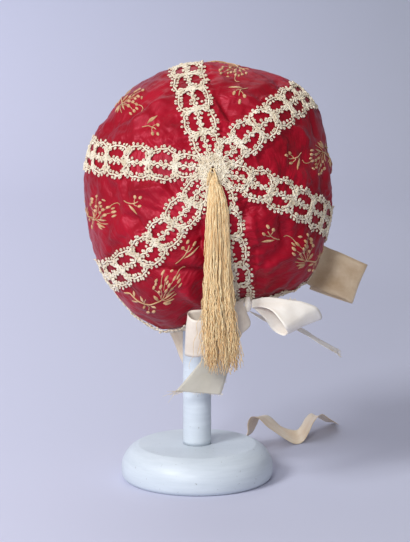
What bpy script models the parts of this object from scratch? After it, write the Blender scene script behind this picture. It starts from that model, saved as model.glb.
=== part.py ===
"""An embroidered bonnet on a plain turned wooden stand.

Metres, +Z up. The stand rests on z = 0 with its post on the Z axis. The back of the bonnet faces -Y
and its face opening faces +Y. Tables that give millimetres say so and are scaled where they are read.
"""

import math
from collections import Counter

import bmesh
import bpy
import numpy as np
from mathutils import Vector

MM = 0.001

# Gap kept between any two pieces.
GAP = 0.3 * MM

# Stand: radii and heights of its three turned pieces.
BASE_PROFILE_MM = (  # radius, height
    (58.5, 0.0),
    (60.9, 3.0),
    (61.4, 9.0),
    (60.3, 15.0),
    (57.4, 20.5),
    (53.0, 25.2),
    (47.0, 28.0),
)
BASE_SIDES = 32
POST_RADIUS = 11.4 * MM
POST_SIDES = 20
HEAD_RADIUS = 60.0 * MM
HEAD_CENTRE_Z = 263.4 * MM
HEAD_UNDERSIDE_Z = 238.0 * MM
HEAD_RINGS = 5
HEAD_SIDES = 20

# Crown: a shell about an axis that runs out through the middle of its back, where the six seams meet.
CROWN_CENTRE = Vector((8.5, 4.0, 232.5)) * MM
AXIS_TILT = math.radians(21)
AXIS_TURN = math.radians(3)
CROWN_ROLL = math.radians(13)
BACK_DEPTH = 83.0 * MM
BACK_ROUNDNESS = 2.2
RIM_ROUNDNESS = 1.5
RIM_DRAW_SPAN = math.radians(60)
SILK_WALL = 2.2 * MM
CROWN_ROWS = (  # direction deg from the right, anticlockwise; girth radius mm; rim angle deg; rim draw
    (0, 100.5, 116, 0.99),
    (30, 112.5, 121, 0.97),
    (60, 106.4, 125, 0.97),
    (90, 104.0, 127, 0.97),
    (120, 102.4, 125, 0.97),
    (150, 100.0, 120, 0.98),
    (180, 98.0, 115, 0.99),
    (210, 106.5, 109, 1.00),
    (235, 114.0, 103, 1.00),
    (250, 112.0, 91, 0.97),
    (268, 106.0, 84, 0.88),
    (286, 105.0, 90, 0.93),
    (305, 105.0, 101, 0.99),
    (330, 99.5, 110, 1.00),
)
SEAM_ROWS = (  # direction of each seam in degrees at the centre, half way and at the rim
    (91, 88, 80),
    (33, 30, 36),
    (-30, -31, -25),
    (-91, -91, -91),
    (-134, -144, -160),
    (158, 155, 134),
)
GORE_COLUMNS = 11
GORE_ROWS = 14
GORE_TIP = 0.028

# Folds in the silk: where each runs, as shares of its gore's width and length from the first corner,
# its height (below zero for a furrow) and its half width, mm.
FOLD_ROWS = (  # gore; from across, along; to across, along; height; half width
    (1, 0.27, 0.33, 0.56, 0.25, -2.6, 5.0),
    (1, 0.53, 0.35, 0.85, 0.37, 2.1, 6.0),
    (1, 0.50, 0.60, 0.80, 0.54, -2.1, 6.0),
    (2, 0.13, 0.55, 0.30, 0.56, -2.9, 5.0),
    (2, 0.15, 0.42, 0.34, 0.47, 2.3, 5.0),
    (2, 0.29, 0.24, 0.63, 0.22, -2.1, 6.0),
    (2, 0.68, 0.60, 0.80, 0.60, -2.6, 6.0),
    (3, 0.30, 0.25, 0.81, 0.38, -3.1, 5.5),
    (3, 0.60, 0.33, 0.79, 0.62, 2.9, 6.0),
    (3, 0.74, 0.52, 0.86, 0.80, -2.6, 6.0),
    (3, 0.24, 0.42, 0.40, 0.52, -2.3, 5.0),
    (3, 0.65, 0.62, 0.32, 0.60, 1.8, 5.0),
    (4, 0.59, 0.25, 0.41, 0.46, -2.9, 6.0),
    (4, 0.79, 0.53, 0.35, 0.60, -2.3, 6.0),
    (4, 0.40, 0.70, 0.66, 0.50, 2.1, 7.0),
    (5, 0.66, 0.38, 0.58, 0.24, 2.0, 5.0),
    (5, 0.40, 0.46, 0.18, 0.43, -2.6, 5.0),
    (5, 0.80, 0.50, 0.45, 0.51, -2.1, 7.0),
    (6, 0.26, 0.54, 0.49, 0.45, -2.3, 6.0),
    (6, 0.40, 0.40, 0.68, 0.38, 2.3, 6.0),
    (6, 0.20, 0.66, 0.50, 0.72, -2.1, 6.0),
)
FOLD_CENTRE_CLEAR = 28.0 * MM
FOLD_RIM_CLEAR = 12.0 * MM
FOLD_SEAM_CLEAR = 14.0 * MM
FOLD_FADE = 9.0 * MM

# Braid: openwork over each seam, a small rosette where the seams meet, and a narrow band round the rim.
BRAID_THICKNESS = 1.5 * MM
BRAID_LIFT = 0.5 * MM
BRAID_PERIOD = 20.6 * MM
BRAID_START = 8.6 * MM
BRAID_RIM_MARGIN = 11.8 * MM
BRAID_HALF_WIDTH = 14.2 * MM
BRAID_TAPER = 0.38
BRAID_TAPER_LOSS = 0.35 * MM
EYE_MM = {  # name of a point in one repeat: share of the repeat, distance from the middle, mm
    "waist": (0.00, 10.0),
    "tip_near": (0.15, 6.2),
    "inner_near": (0.34, 2.2),
    "inner_far": (0.66, 2.2),
    "tip_far": (0.85, 6.2),
    "outer_far": (0.67, 10.6),
    "outer_near": (0.33, 10.6),
    "swell_near": (0.33, 14.2),
    "swell_far": (0.67, 14.2),
}
ROSETTE_RADIUS = 7.6 * MM
ROSETTE_LOBES = 10
EDGE_BAND_INSETS = (1.0, 8.8)  # nearest and farthest distance from the rim, mm
EDGE_BAND_WAVE = 0.8  # mm
EDGE_BAND_STEPS = 66

# Tassel: a head on the braid, and locks that lie on the crown and then hang straight down.
TASSEL_HEAD_X = 12.8 * MM
TASSEL_HEAD_Z = 252.5 * MM
TASSEL_HEAD_SIZE = Vector((4.4, 3.2, 5.4)) * MM
TASSEL_ROWS = (  # height mm; middle x mm; spread of the locks, as a share of the full width; lock radius mm
    (252.5, 12.9, 0.20, 1.90),
    (243.0, 14.6, 0.42, 1.60),
    (228.0, 15.6, 0.72, 1.65),
    (205.0, 15.8, 0.84, 1.90),
    (178.0, 16.3, 0.94, 2.00),
    (152.0, 17.3, 1.06, 2.10),
    (129.0, 18.4, 1.16, 1.40),
)
TASSEL_HALF_SPREAD = 9.4 * MM
TASSEL_LAYERS = (  # forward offset mm; locks; share of the full width
    (0.0, 5, 1.0),
    (4.9, 4, 0.78),
)
TASSEL_TIPS_MM = (118.0, 110.0, 114.5, 108.0, 112.5)
LOCK_TIP_RADIUS = 0.7 * MM
LOCK_SIDES = 6
TASSEL_CLEARANCE = 1.0 * MM

# Ribbon: every row gives a point on each edge of the strip, mm.
RIBBON_THICKNESS = 1.0 * MM
RIBBON_STEPS = 2
KNOT_CENTRE = Vector((39.8, -55.8, 154.0)) * MM
KNOT_SIZE = Vector((2.8, 4.5, 6.0)) * MM
BOW_LOOP_LEFT = (
    ((36.4, -58.2, 158.0), (36.4, -58.2, 151.5)),
    ((29.5, -65.0, 157.0), (41.5, -63.5, 139.0)),
    ((18.5, -72.0, 152.0), (27.5, -69.0, 128.5)),
    ((7.0, -76.5, 146.5), (12.5, -74.0, 119.5)),
    ((-2.0, -76.5, 146.0), (0.0, -74.0, 116.0)),
    ((-7.0, -72.0, 149.0), (-8.5, -69.0, 116.0)),
    ((-5.0, -68.2, 151.5), (-7.0, -64.5, 117.0)),
    ((5.5, -67.5, 152.5), (6.5, -61.0, 122.0)),
    ((19.5, -62.0, 154.0), (25.0, -58.0, 131.5)),
    ((36.6, -53.8, 157.0), (36.6, -53.8, 151.5)),
)
BOW_LOOP_RIGHT = (
    ((42.8, -58.0, 158.0), (42.8, -58.0, 151.5)),
    ((55.0, -60.0, 160.5), (49.5, -64.0, 153.5)),
    ((69.5, -58.0, 158.5), (58.0, -69.0, 151.5)),
    ((82.5, -54.0, 155.5), (65.0, -73.0, 144.5)),
    ((94.0, -50.0, 150.0), (69.0, -73.0, 138.0)),
    ((98.0, -45.0, 141.0), (70.5, -68.0, 134.0)),
    ((93.0, -40.0, 138.5), (67.0, -61.0, 130.5)),
    ((80.0, -41.0, 145.0), (59.5, -56.0, 133.5)),
    ((65.0, -46.0, 151.0), (52.5, -57.5, 143.5)),
    ((42.8, -53.8, 157.0), (42.8, -53.8, 151.5)),
)
BOW_TAIL_LEFT = (
    ((35.0, -52.0, 149.6), (39.4, -52.6, 148.4)),
    ((24.5, -50.0, 141.0), (37.5, -48.0, 134.5)),
    ((14.0, -49.0, 127.5), (32.5, -44.5, 121.5)),
    ((5.5, -50.0, 111.0), (28.0, -43.5, 108.5)),
    ((-5.5, -52.0, 97.0), (23.5, -44.0, 94.0)),
    ((-16.5, -54.0, 84.5), (19.0, -46.0, 79.5)),
)
BOW_TAIL_RIGHT = (
    ((41.4, -53.0, 148.0), (41.6, -58.0, 148.2)),
    ((56.0, -27.0, 136.5), (56.5, -46.0, 138.0)),
    ((71.0, -8.0, 129.0), (71.0, -38.0, 134.0)),
    ((85.5, 3.0, 121.0), (84.5, -30.0, 127.0)),
    ((99.0, 6.0, 112.0), (98.0, -27.0, 118.0)),
    ((113.0, 7.0, 104.0), (112.0, -26.0, 109.5)),
)
TIE_INSET = 9.0 * MM
TIE_OVERHANG = 2.5 * MM
TIE_RIGHT_SEWN_AT = (329, 311)  # directions on the rim of the tie's two edges, degrees
TIE_RIGHT = (
    ((104.0, 43.0, 183.0), (88.5, 29.0, 155.0)),
    ((117.0, 40.0, 178.0), (103.0, 28.0, 148.0)),
    ((130.0, 36.5, 172.5), (118.0, 26.0, 142.5)),
    ((137.0, 35.5, 169.5), (124.5, 26.5, 139.0)),
    ((139.0, 39.0, 168.0), (126.0, 30.0, 137.5)),
    ((134.0, 43.0, 169.0), (121.0, 33.0, 138.5)),
    ((121.0, 49.0, 172.0), (108.0, 37.5, 142.0)),
    ((105.0, 54.5, 176.5), (92.0, 43.0, 147.0)),
)
TIE_LEFT_SEWN_AT = (210, 231)
TIE_LEFT = (
    ((-39.0, 21.0, 138.0), (-22.0, 11.0, 124.0)),
    ((-23.5, 25.0, 116.0), (-9.0, 13.8, 117.0)),
    ((-17.0, 31.0, 100.0), (-8.0, 15.5, 106.0)),
    ((-11.0, 41.0, 83.0), (-6.0, 20.0, 92.0)),
    ((-4.0, 53.0, 67.0), (-3.0, 28.0, 77.0)),
    ((0.0, 68.0, 50.0), (0.0, 40.0, 61.0)),
    ((3.0, 84.0, 33.0), (2.0, 55.0, 45.0)),
    ((6.0, 97.0, 18.0), (5.0, 68.0, 29.0)),
    ((11.0, 104.0, 8.0), (9.0, 74.0, 14.5)),
    ((19.0, 107.0, 3.0), (17.0, 76.5, 4.5)),
    ((28.0, 107.0, 3.5), (26.0, 77.0, 4.0)),
    ((38.5, 105.5, 5.0), (36.0, 76.0, 9.0)),
    ((46.5, 105.0, 9.0), (42.0, 75.0, 16.5)),
    ((50.5, 106.0, 16.0), (42.5, 76.5, 24.5)),
    ((54.0, 108.5, 22.5), (45.5, 78.5, 29.8)),
    ((59.7, 111.0, 23.2), (51.5, 80.8, 28.0)),
    ((65.4, 115.0, 18.6), (58.2, 84.0, 21.2)),
    ((71.6, 119.5, 11.8), (65.6, 88.5, 14.6)),
    ((79.2, 125.5, 7.2), (75.5, 94.0, 6.5)),
    ((86.0, 131.5, 5.0), (84.0, 99.5, 0.9)),
    ((90.0, 137.0, 7.5), (90.5, 105.0, 1.6)),
    ((94.0, 143.5, 12.5), (95.6, 111.5, 8.0)),
    ((99.5, 150.5, 15.0), (100.5, 118.5, 15.5)),
    ((106.0, 159.0, 9.5), (107.5, 127.5, 20.0)),
    ((114.0, 168.5, 3.2), (115.5, 138.0, 13.0)),
    ((122.0, 176.0, 0.9), (123.5, 148.5, 5.5)),
)

SMOOTH_ANGLE = math.radians(40)


def clear_scene():
    for obj in list(bpy.data.objects):
        bpy.data.objects.remove(obj)


def material(name, colour, roughness, sheen=0.0):
    made = bpy.data.materials.new(name)
    made.use_nodes = True
    shader = made.node_tree.nodes["Principled BSDF"]
    shader.inputs["Base Color"].default_value = (*colour, 1.0)
    shader.inputs["Roughness"].default_value = roughness
    shader.inputs["Metallic"].default_value = 0.0
    shader.inputs["Sheen Weight"].default_value = sheen
    return made


def add_object(name, bm, finish, parent):
    """Closes off a bmesh as a smooth-shaded object with its faces pointing out."""
    bmesh.ops.triangulate(bm, faces=bm.faces)
    bmesh.ops.recalc_face_normals(bm, faces=bm.faces)
    mesh = bpy.data.meshes.new(name)
    bm.to_mesh(mesh)
    bm.free()
    mesh.shade_smooth()
    mesh.set_sharp_from_angle(angle=SMOOTH_ANGLE)
    mesh.materials.append(finish)
    obj = bpy.data.objects.new(name, mesh)
    obj.parent = parent
    bpy.context.scene.collection.objects.link(obj)
    return obj


def wall(name, outer, inner, faces, finish, parent):
    """A closed wall between two like surfaces: their faces, and a strip along every open edge."""
    bm = bmesh.new()
    top = [bm.verts.new(point) for point in outer]
    under = [bm.verts.new(point) for point in inner]
    uses = Counter(frozenset(edge) for face in faces for edge in zip(face, face[1:] + face[:1]))
    for face in faces:
        bm.faces.new([top[i] for i in face])
        bm.faces.new([under[i] for i in reversed(face)])
        for a, b in zip(face, face[1:] + face[:1]):
            if uses[frozenset((a, b))] == 1:
                bm.faces.new((top[b], top[a], under[a], under[b]))
    return add_object(name, bm, finish, parent)


def grid_faces(rows, columns, closed=False):
    """Quads of a grid with this many rows and columns of points, joined round the rows if closed."""
    faces = []
    for i in range(rows - 1 + closed):
        for j in range(columns - 1):
            near, far = i * columns + j, (i + 1) % rows * columns + j
            faces.append((near, near + 1, far + 1, far))
    return faces


def turned(name, profile, sides, finish, parent):
    """A closed turned solid about the Z axis from (radius, height) pairs, lowest first."""
    bm = bmesh.new()
    rings = [
        [
            bm.verts.new((r * math.cos(2 * math.pi * k / sides), r * math.sin(2 * math.pi * k / sides), z))
            for k in range(sides)
        ]
        for r, z in profile
    ]
    for low, high in zip(rings, rings[1:]):
        for k in range(sides):
            bm.faces.new((low[k], low[(k + 1) % sides], high[(k + 1) % sides], high[k]))
    bm.faces.new(list(reversed(rings[0])))
    bm.faces.new(rings[-1])
    return add_object(name, bm, finish, parent)


def build_stand(wood, parent):
    base = [(r * MM, z * MM) for r, z in BASE_PROFILE_MM]
    base_top = base[-1][1]
    turned("stand_base", base, BASE_SIDES, wood, parent)
    post = [(POST_RADIUS, base_top + GAP), (POST_RADIUS, HEAD_UNDERSIDE_Z - GAP)]
    turned("stand_post", post, POST_SIDES, wood, parent)
    lowest = math.asin((HEAD_UNDERSIDE_Z - HEAD_CENTRE_Z) / HEAD_RADIUS)
    head = []
    for ring in range(HEAD_RINGS + 1):
        angle = lowest + (math.radians(84) - lowest) * ring / HEAD_RINGS
        head.append((HEAD_RADIUS * math.cos(angle), HEAD_CENTRE_Z + HEAD_RADIUS * math.sin(angle)))
    turned("stand_head", head, HEAD_SIDES, wood, parent)


def crown_axes():
    """The axis out through the back, and the directions of 0 and 90 degrees about it."""
    axis = Vector(
        (
            math.sin(AXIS_TURN) * math.cos(AXIS_TILT),
            -math.cos(AXIS_TURN) * math.cos(AXIS_TILT),
            math.sin(AXIS_TILT),
        )
    )
    level = Vector((math.cos(AXIS_TURN), math.sin(AXIS_TURN), 0.0))
    rising = axis.cross(level)
    right = math.cos(CROWN_ROLL) * level + math.sin(CROWN_ROLL) * rising
    up = math.cos(CROWN_ROLL) * rising - math.sin(CROWN_ROLL) * level
    return axis, right, up


AXIS, RIGHT, UP = crown_axes()


def crown_row(column, direction):
    """One column of CROWN_ROWS at a direction in radians, on a smooth closed curve through the rows."""
    degrees = math.degrees(direction) % 360
    angles = [row[0] for row in CROWN_ROWS]
    values = [row[column] for row in CROWN_ROWS]
    count = len(angles)
    here = max(i for i in range(count) if angles[i] <= degrees)
    at = [angles[(here + k) % count] + 360 * ((here + k) // count) for k in (-1, 0, 1, 2)]
    value = [values[(here + k) % count] for k in (-1, 0, 1, 2)]
    span = at[2] - at[1]
    slope_in = (value[2] - value[0]) / (at[2] - at[0]) * span
    slope_out = (value[3] - value[1]) / (at[3] - at[1]) * span
    t = (degrees - at[1]) / span
    return (
        (2 * t**3 - 3 * t**2 + 1) * value[1]
        + (t**3 - 2 * t**2 + t) * slope_in
        + (3 * t**2 - 2 * t**3) * value[2]
        + (t**3 - t**2) * slope_out
    )


def rim_angle(direction):
    return math.radians(crown_row(2, direction))


def crown_point(angle, direction, lift=0.0):
    """A point of the crown: its angle from the axis, its direction about it, and its lift off the silk."""
    girth = crown_row(1, direction) * MM
    radius = BACK_DEPTH + (girth - BACK_DEPTH) * math.sin(min(angle, math.pi / 2)) ** BACK_ROUNDNESS
    near_rim = min(max((angle - rim_angle(direction)) / RIM_DRAW_SPAN + 1, 0.0), 1.0)
    radius *= 1 + (crown_row(3, direction) - 1) * near_rim**RIM_ROUNDNESS
    outward = (
        math.sin(angle) * math.cos(direction) * RIGHT
        + math.sin(angle) * math.sin(direction) * UP
        + math.cos(angle) * AXIS
    )
    return CROWN_CENTRE + (radius + lift) * outward


def seam_direction(seam, share):
    """Direction of a seam at a share of the way from the centre to the rim."""
    start, middle, end = (math.radians(value) for value in SEAM_ROWS[seam % len(SEAM_ROWS)])
    return start + (middle - start) * 4 * share * (1 - share) + (end - start) * share * (2 * share - 1)


def gore_directions(gore, share):
    """Directions of the two seams beside a gore, the second below the first."""
    first = seam_direction(gore, share)
    second = seam_direction(gore + 1, share)
    while second > first:
        second -= 2 * math.pi
    return first, second


def smoothstep(value):
    value = min(max(value, 0.0), 1.0)
    return value * value * (3 - 2 * value)


def gore_point(gore, across, along, lift=0.0):
    first, second = gore_directions(gore, along)
    direction = first + (second - first) * across
    return crown_point(rim_angle(direction) * along, direction, lift)


def fold_lift(gore, across, along):
    """How far the folds of a gore raise its silk here: none under the braid."""
    here = gore_point(gore, across, along)
    clear = (
        (here - gore_point(gore, 0.5, 0.0)).length - FOLD_CENTRE_CLEAR,
        (here - gore_point(gore, across, 1.0)).length - FOLD_RIM_CLEAR,
        (here - gore_point(gore, 0.0, along)).length - FOLD_SEAM_CLEAR,
        (here - gore_point(gore, 1.0, along)).length - FOLD_SEAM_CLEAR,
    )
    window = math.prod(smoothstep(distance / FOLD_FADE) for distance in clear)
    lift = 0.0
    for number, across_a, along_a, across_b, along_b, height, half_width in FOLD_ROWS:
        if number != gore + 1:
            continue
        start = gore_point(gore, across_a, along_a)
        run = gore_point(gore, across_b, along_b) - start
        nearest = start + run * min(max((here - start).dot(run) / run.length_squared, 0.0), 1.0)
        lift += height * MM * math.exp(-(((here - nearest).length / (half_width * MM)) ** 2))
    return lift * window


def build_gore(gore, silk, parent):
    """One silk wall between two seams, drawn down to a blunt tip at the centre."""
    outer, inner = [], []
    for row in range(GORE_ROWS + 1):
        along = GORE_TIP + (1 - GORE_TIP) * row / GORE_ROWS
        first, second = gore_directions(gore, along)
        angle = rim_angle((first + second) / 2) * along
        trim = (GAP / 2 + 0.02 * MM) / ((BACK_DEPTH - SILK_WALL) * math.sin(angle)) / (first - second)
        for column in range(GORE_COLUMNS + 1):
            across = trim + (1 - 2 * trim) * column / GORE_COLUMNS
            lift = fold_lift(gore, across, along)
            outer.append(gore_point(gore, across, along, lift))
            inner.append(gore_point(gore, across, along, lift - SILK_WALL))
    faces = grid_faces(GORE_ROWS + 1, GORE_COLUMNS + 1)
    return wall(f"crown_gore_{gore + 1}", outer, inner, faces, silk, parent)


def seam_lengths(seam, samples=80):
    """Distances along a seam from the centre, and the share of the way at each."""
    shares = [k / (samples - 1) for k in range(samples)]
    points = [crown_point(rim_angle(seam_direction(seam, s)) * s, seam_direction(seam, s)) for s in shares]
    steps = [(b - a).length for a, b in zip(points, points[1:])]
    return np.concatenate(([0.0], np.cumsum(steps))), shares


def beside_seam(seam, share, offset, lift):
    """A point beside a seam, at the same share of the way to the rim and this far round the crown."""
    direction = seam_direction(seam, share)
    angle = rim_angle(direction) * share
    radius = (crown_point(angle, direction) - CROWN_CENTRE).length
    direction += offset / (radius * math.sin(angle))
    return crown_point(rim_angle(direction) * share, direction, lift)


def build_braid_arm(seam, thread, parent):
    """Openwork over one seam: repeats of two eyes side by side between three cords."""
    lengths, shares = seam_lengths(seam)
    start, end = BRAID_START, float(lengths[-1]) - BRAID_RIM_MARGIN
    repeats = round((end - start) / BRAID_PERIOD)
    period = (end - start) / repeats
    spots, index = [], {}

    def spot(repeat, name, side):
        """Index of a named point of a repeat, on one side of the middle, or on it for side 0."""
        key = (repeat, name, side)
        if key not in index:
            share, offset = EYE_MM[name]
            distance = start + (repeat + share) * period
            taper = min(1.0, (distance * BRAID_TAPER - BRAID_TAPER_LOSS) / BRAID_HALF_WIDTH)
            index[key] = len(spots)
            spots.append((float(np.interp(distance, lengths, shares)), side * offset * MM * taper))
        return index[key]

    faces = []
    for k in range(repeats):
        middle, next_middle = spot(k, "waist", 0), spot(k + 1, "waist", 0)
        left_near, left_far = spot(k, "inner_near", 1), spot(k, "inner_far", 1)
        right_near, right_far = spot(k, "inner_near", -1), spot(k, "inner_far", -1)
        faces.append((middle, right_near, left_near))
        faces.append((left_near, right_near, right_far, left_far))
        faces.append((left_far, right_far, next_middle))
        for side in (1, -1):
            waist, next_waist = spot(k, "waist", side), spot(k + 1, "waist", side)
            inner_near, inner_far = spot(k, "inner_near", side), spot(k, "inner_far", side)
            swell_near, swell_far = spot(k, "swell_near", side), spot(k, "swell_far", side)
            tip_near, tip_far = spot(k, "tip_near", side), spot(k, "tip_far", side)
            outer_near, outer_far = spot(k, "outer_near", side), spot(k, "outer_far", side)
            cells = [
                (middle, inner_near, tip_near),
                (middle, tip_near, waist),
                (waist, tip_near, outer_near),
                (waist, outer_near, swell_near),
                (swell_near, outer_near, outer_far, swell_far),
                (swell_far, outer_far, next_waist),
                (next_waist, outer_far, tip_far),
                (next_waist, tip_far, next_middle),
                (next_middle, tip_far, inner_far),
            ]
            if k == 0:
                cells.append((tip_near, inner_near, inner_far, tip_far, outer_far, outer_near))
            faces += [cell if side > 0 else cell[::-1] for cell in cells]
    top = [beside_seam(seam, share, offset, BRAID_LIFT + BRAID_THICKNESS) for share, offset in spots]
    under = [beside_seam(seam, share, offset, BRAID_LIFT) for share, offset in spots]
    return wall(f"braid_arm_{seam + 1}", top, under, faces, thread, parent)


def build_rosette(thread, parent):
    """The small lobed centre of the braid, where the six arms meet."""
    angles = [math.pi * k / ROSETTE_LOBES for k in range(2 * ROSETTE_LOBES)]
    spread = [ROSETTE_RADIUS / BACK_DEPTH * (1.0 if k % 2 == 0 else 0.86) for k in range(len(angles))]
    heights = (BRAID_LIFT + BRAID_THICKNESS, BRAID_LIFT)
    top, under = (
        [crown_point(reach, angle, lift) for reach, angle in zip(spread, angles)]
        + [crown_point(1e-4, 0.0, lift)]
        for lift in heights
    )
    count = len(angles)
    faces = [(k, (k + 1) % count, count) for k in range(count)]
    return wall("braid_centre", top, under, faces, thread, parent)


def rim_point(direction, inset, lift):
    """A point this far in from the rim, measured over the crown."""
    edge = crown_point(rim_angle(direction), direction)
    radius = (edge - CROWN_CENTRE).length
    return crown_point(rim_angle(direction) - inset / radius, direction, lift)


def build_edge_band(thread, parent):
    """A narrow wavy band sewn round the whole rim."""
    top, under = [], []
    near, far = EDGE_BAND_INSETS
    for step in range(EDGE_BAND_STEPS):
        direction = 2 * math.pi * step / EDGE_BAND_STEPS
        wave = EDGE_BAND_WAVE if step % 2 else -EDGE_BAND_WAVE
        for inset in (near, far + wave):
            top.append(rim_point(direction, inset * MM, BRAID_LIFT + BRAID_THICKNESS))
            under.append(rim_point(direction, inset * MM, BRAID_LIFT))
    faces = grid_faces(EDGE_BAND_STEPS, 2, closed=True)
    return wall("edge_braid", top, under, faces, thread, parent)


def catmull_rom(points, steps):
    """A smooth line through the points, with this many steps between each two."""
    line = []
    for i in range(len(points) - 1):
        a, b = points[max(i - 1, 0)], points[i]
        c, d = points[i + 1], points[min(i + 2, len(points) - 1)]
        for k in range(steps):
            t = k / steps
            line.append(
                0.5 * (2 * b + (c - a) * t + (2 * a - 5 * b + 4 * c - d) * t**2 + (3 * (b - c) + d - a) * t**3)
            )
    line.append(points[-1])
    return line


def build_ribbon(name, rows, silk, parent):
    """A flat strip through rows of two edge points, of even thickness."""
    edges = [catmull_rom([Vector(row[side]) for row in rows], RIBBON_STEPS) for side in (0, 1)]
    middle = [(a + b) / 2 for a, b in zip(*edges)]
    top, under = [], []
    for i, (a, b) in enumerate(zip(*edges)):
        forward = middle[min(i + 1, len(middle) - 1)] - middle[max(i - 1, 0)]
        out = forward.cross(b - a).normalized() * (RIBBON_THICKNESS / 2)
        top += [a + out, b + out]
        under += [a - out, b - out]
    return wall(name, top, under, grid_faces(len(middle), 2), silk, parent)


def scaled(rows):
    return [tuple(Vector(point) * MM for point in row) for row in rows]


def sewn_rows(directions):
    """The end of a tie, held flat inside the rim."""
    under = -(SILK_WALL + GAP + RIBBON_THICKNESS)
    return [
        tuple(rim_point(math.radians(angle), inset, under) for angle in directions)
        for inset in (TIE_INSET, -TIE_OVERHANG)
    ]


def ellipsoid(bm, centre, size, rings, sides):
    made = bmesh.ops.create_uvsphere(bm, u_segments=sides, v_segments=rings, radius=1.0)
    bmesh.ops.scale(bm, vec=size, verts=made["verts"])
    bmesh.ops.translate(bm, vec=centre, verts=made["verts"])


def build_bow(silk, parent):
    bm = bmesh.new()
    ellipsoid(bm, KNOT_CENTRE, KNOT_SIZE, 6, 9)
    add_object("bow_knot", bm, silk, parent)
    for name, rows in (
        ("bow_loop_left", BOW_LOOP_LEFT),
        ("bow_loop_right", BOW_LOOP_RIGHT),
        ("bow_tail_left", BOW_TAIL_LEFT),
        ("bow_tail_right", BOW_TAIL_RIGHT),
    ):
        build_ribbon(name, scaled(rows), silk, parent)


def build_ties(silk, parent):
    build_ribbon("chin_tie_right", sewn_rows(TIE_RIGHT_SEWN_AT) + scaled(TIE_RIGHT), silk, parent)
    build_ribbon("chin_tie_left", sewn_rows(TIE_LEFT_SEWN_AT) + scaled(TIE_LEFT), silk, parent)


def back_of_crown(x, z):
    """The y at which a level line from behind first meets the crown."""
    outside, inside = -0.2, CROWN_CENTRE.y
    for _ in range(24):
        y = (outside + inside) / 2
        arm = Vector((x, y, z)) - CROWN_CENTRE
        angle = arm.angle(AXIS)
        direction = math.atan2(arm.dot(UP), arm.dot(RIGHT))
        reached = angle < rim_angle(direction) and arm.length < (
            crown_point(angle, direction) - CROWN_CENTRE
        ).length
        outside, inside = (outside, y) if reached else (y, inside)
    return outside


def lock_line(place, forward, tip):
    """Centres of one lock's rings: against the crown as far as it bulges, then plumb."""
    line = []
    rest = 0.0
    for z, x, spread, radius in TASSEL_ROWS:
        here = x * MM + place * TASSEL_HALF_SPREAD * spread
        lift = BRAID_LIFT + BRAID_THICKNESS + TASSEL_CLEARANCE + radius * MM
        rest = min(rest, back_of_crown(here, z * MM) - lift)
        line.append(Vector((here, rest - forward * min(1.0, spread * 1.15), z * MM)))
    downward = (line[-1] - line[-2]).normalized()
    line.append(line[-1] - downward * ((line[-1].z - tip) / downward.z))
    return line


def lock_mesh(name, line, radii):
    """One closed lock: rings of a six-sided tube down a line."""
    bm = bmesh.new()
    rings = []
    for i, (centre, radius) in enumerate(zip(line, radii)):
        forward = (line[min(i + 1, len(line) - 1)] - line[max(i - 1, 0)]).normalized()
        across = Vector((1.0, 0.0, 0.0))
        depth = forward.cross(across).normalized()
        angles = [2 * math.pi * (k + 0.5) / LOCK_SIDES for k in range(LOCK_SIDES)]
        rings.append(
            [bm.verts.new(centre + radius * (math.cos(a) * across + math.sin(a) * depth)) for a in angles]
        )
    for near, far in zip(rings, rings[1:]):
        for k in range(LOCK_SIDES):
            bm.faces.new((near[k], near[(k + 1) % LOCK_SIDES], far[(k + 1) % LOCK_SIDES], far[k]))
    bm.faces.new(list(reversed(rings[0])))
    bm.faces.new(rings[-1])
    bmesh.ops.recalc_face_normals(bm, faces=bm.faces)
    mesh = bpy.data.meshes.new(name)
    bm.to_mesh(mesh)
    bm.free()
    return mesh


def build_tassel(thread, parent):
    """A head with locks in two layers, joined into one body where they meet it."""
    locks = bpy.data.collections.new("tassel_locks")
    bpy.context.scene.collection.children.link(locks)
    radii = [row[3] * MM for row in TASSEL_ROWS] + [LOCK_TIP_RADIUS]
    for layer, (forward, count, width) in enumerate(TASSEL_LAYERS):
        for k in range(count):
            place = (2 * k / (count - 1) - 1) * width
            tip = TASSEL_TIPS_MM[(k + 2 * layer) % len(TASSEL_TIPS_MM)] * MM
            name = f"lock_{layer}_{k}"
            lock = bpy.data.objects.new(name, lock_mesh(name, lock_line(place, forward * MM, tip), radii))
            lock.hide_render = True
            lock.display_type = "WIRE"
            locks.objects.link(lock)
    lift = BRAID_LIFT + BRAID_THICKNESS + TASSEL_CLEARANCE + TASSEL_HEAD_SIZE.y
    head_y = back_of_crown(TASSEL_HEAD_X, TASSEL_HEAD_Z) - lift
    bm = bmesh.new()
    ellipsoid(bm, Vector((TASSEL_HEAD_X, head_y, TASSEL_HEAD_Z)), TASSEL_HEAD_SIZE, 7, 10)
    tassel = add_object("tassel", bm, thread, parent)
    union = tassel.modifiers.new("locks", "BOOLEAN")
    union.operation = "UNION"
    union.operand_type = "COLLECTION"
    union.collection = locks
    union.solver = "EXACT"


def main():
    clear_scene()
    parent = bpy.data.objects.new("bonnet_on_stand", None)
    bpy.context.scene.collection.objects.link(parent)
    wood = material("painted_wood", (0.64, 0.71, 0.79), 0.55)
    silk = material("red_silk", (0.36, 0.022, 0.045), 0.42, sheen=0.3)
    braid = material("cream_braid", (0.72, 0.62, 0.49), 0.85)
    ribbon = material("cream_ribbon", (0.82, 0.74, 0.62), 0.5, sheen=0.2)
    tassel = material("straw_tassel", (0.68, 0.50, 0.30), 0.6)
    build_stand(wood, parent)
    for gore in range(len(SEAM_ROWS)):
        build_gore(gore, silk, parent)
        build_braid_arm(gore, braid, parent)
    build_rosette(braid, parent)
    build_edge_band(braid, parent)
    build_tassel(tassel, parent)
    build_bow(ribbon, parent)
    build_ties(ribbon, parent)


main()
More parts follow.
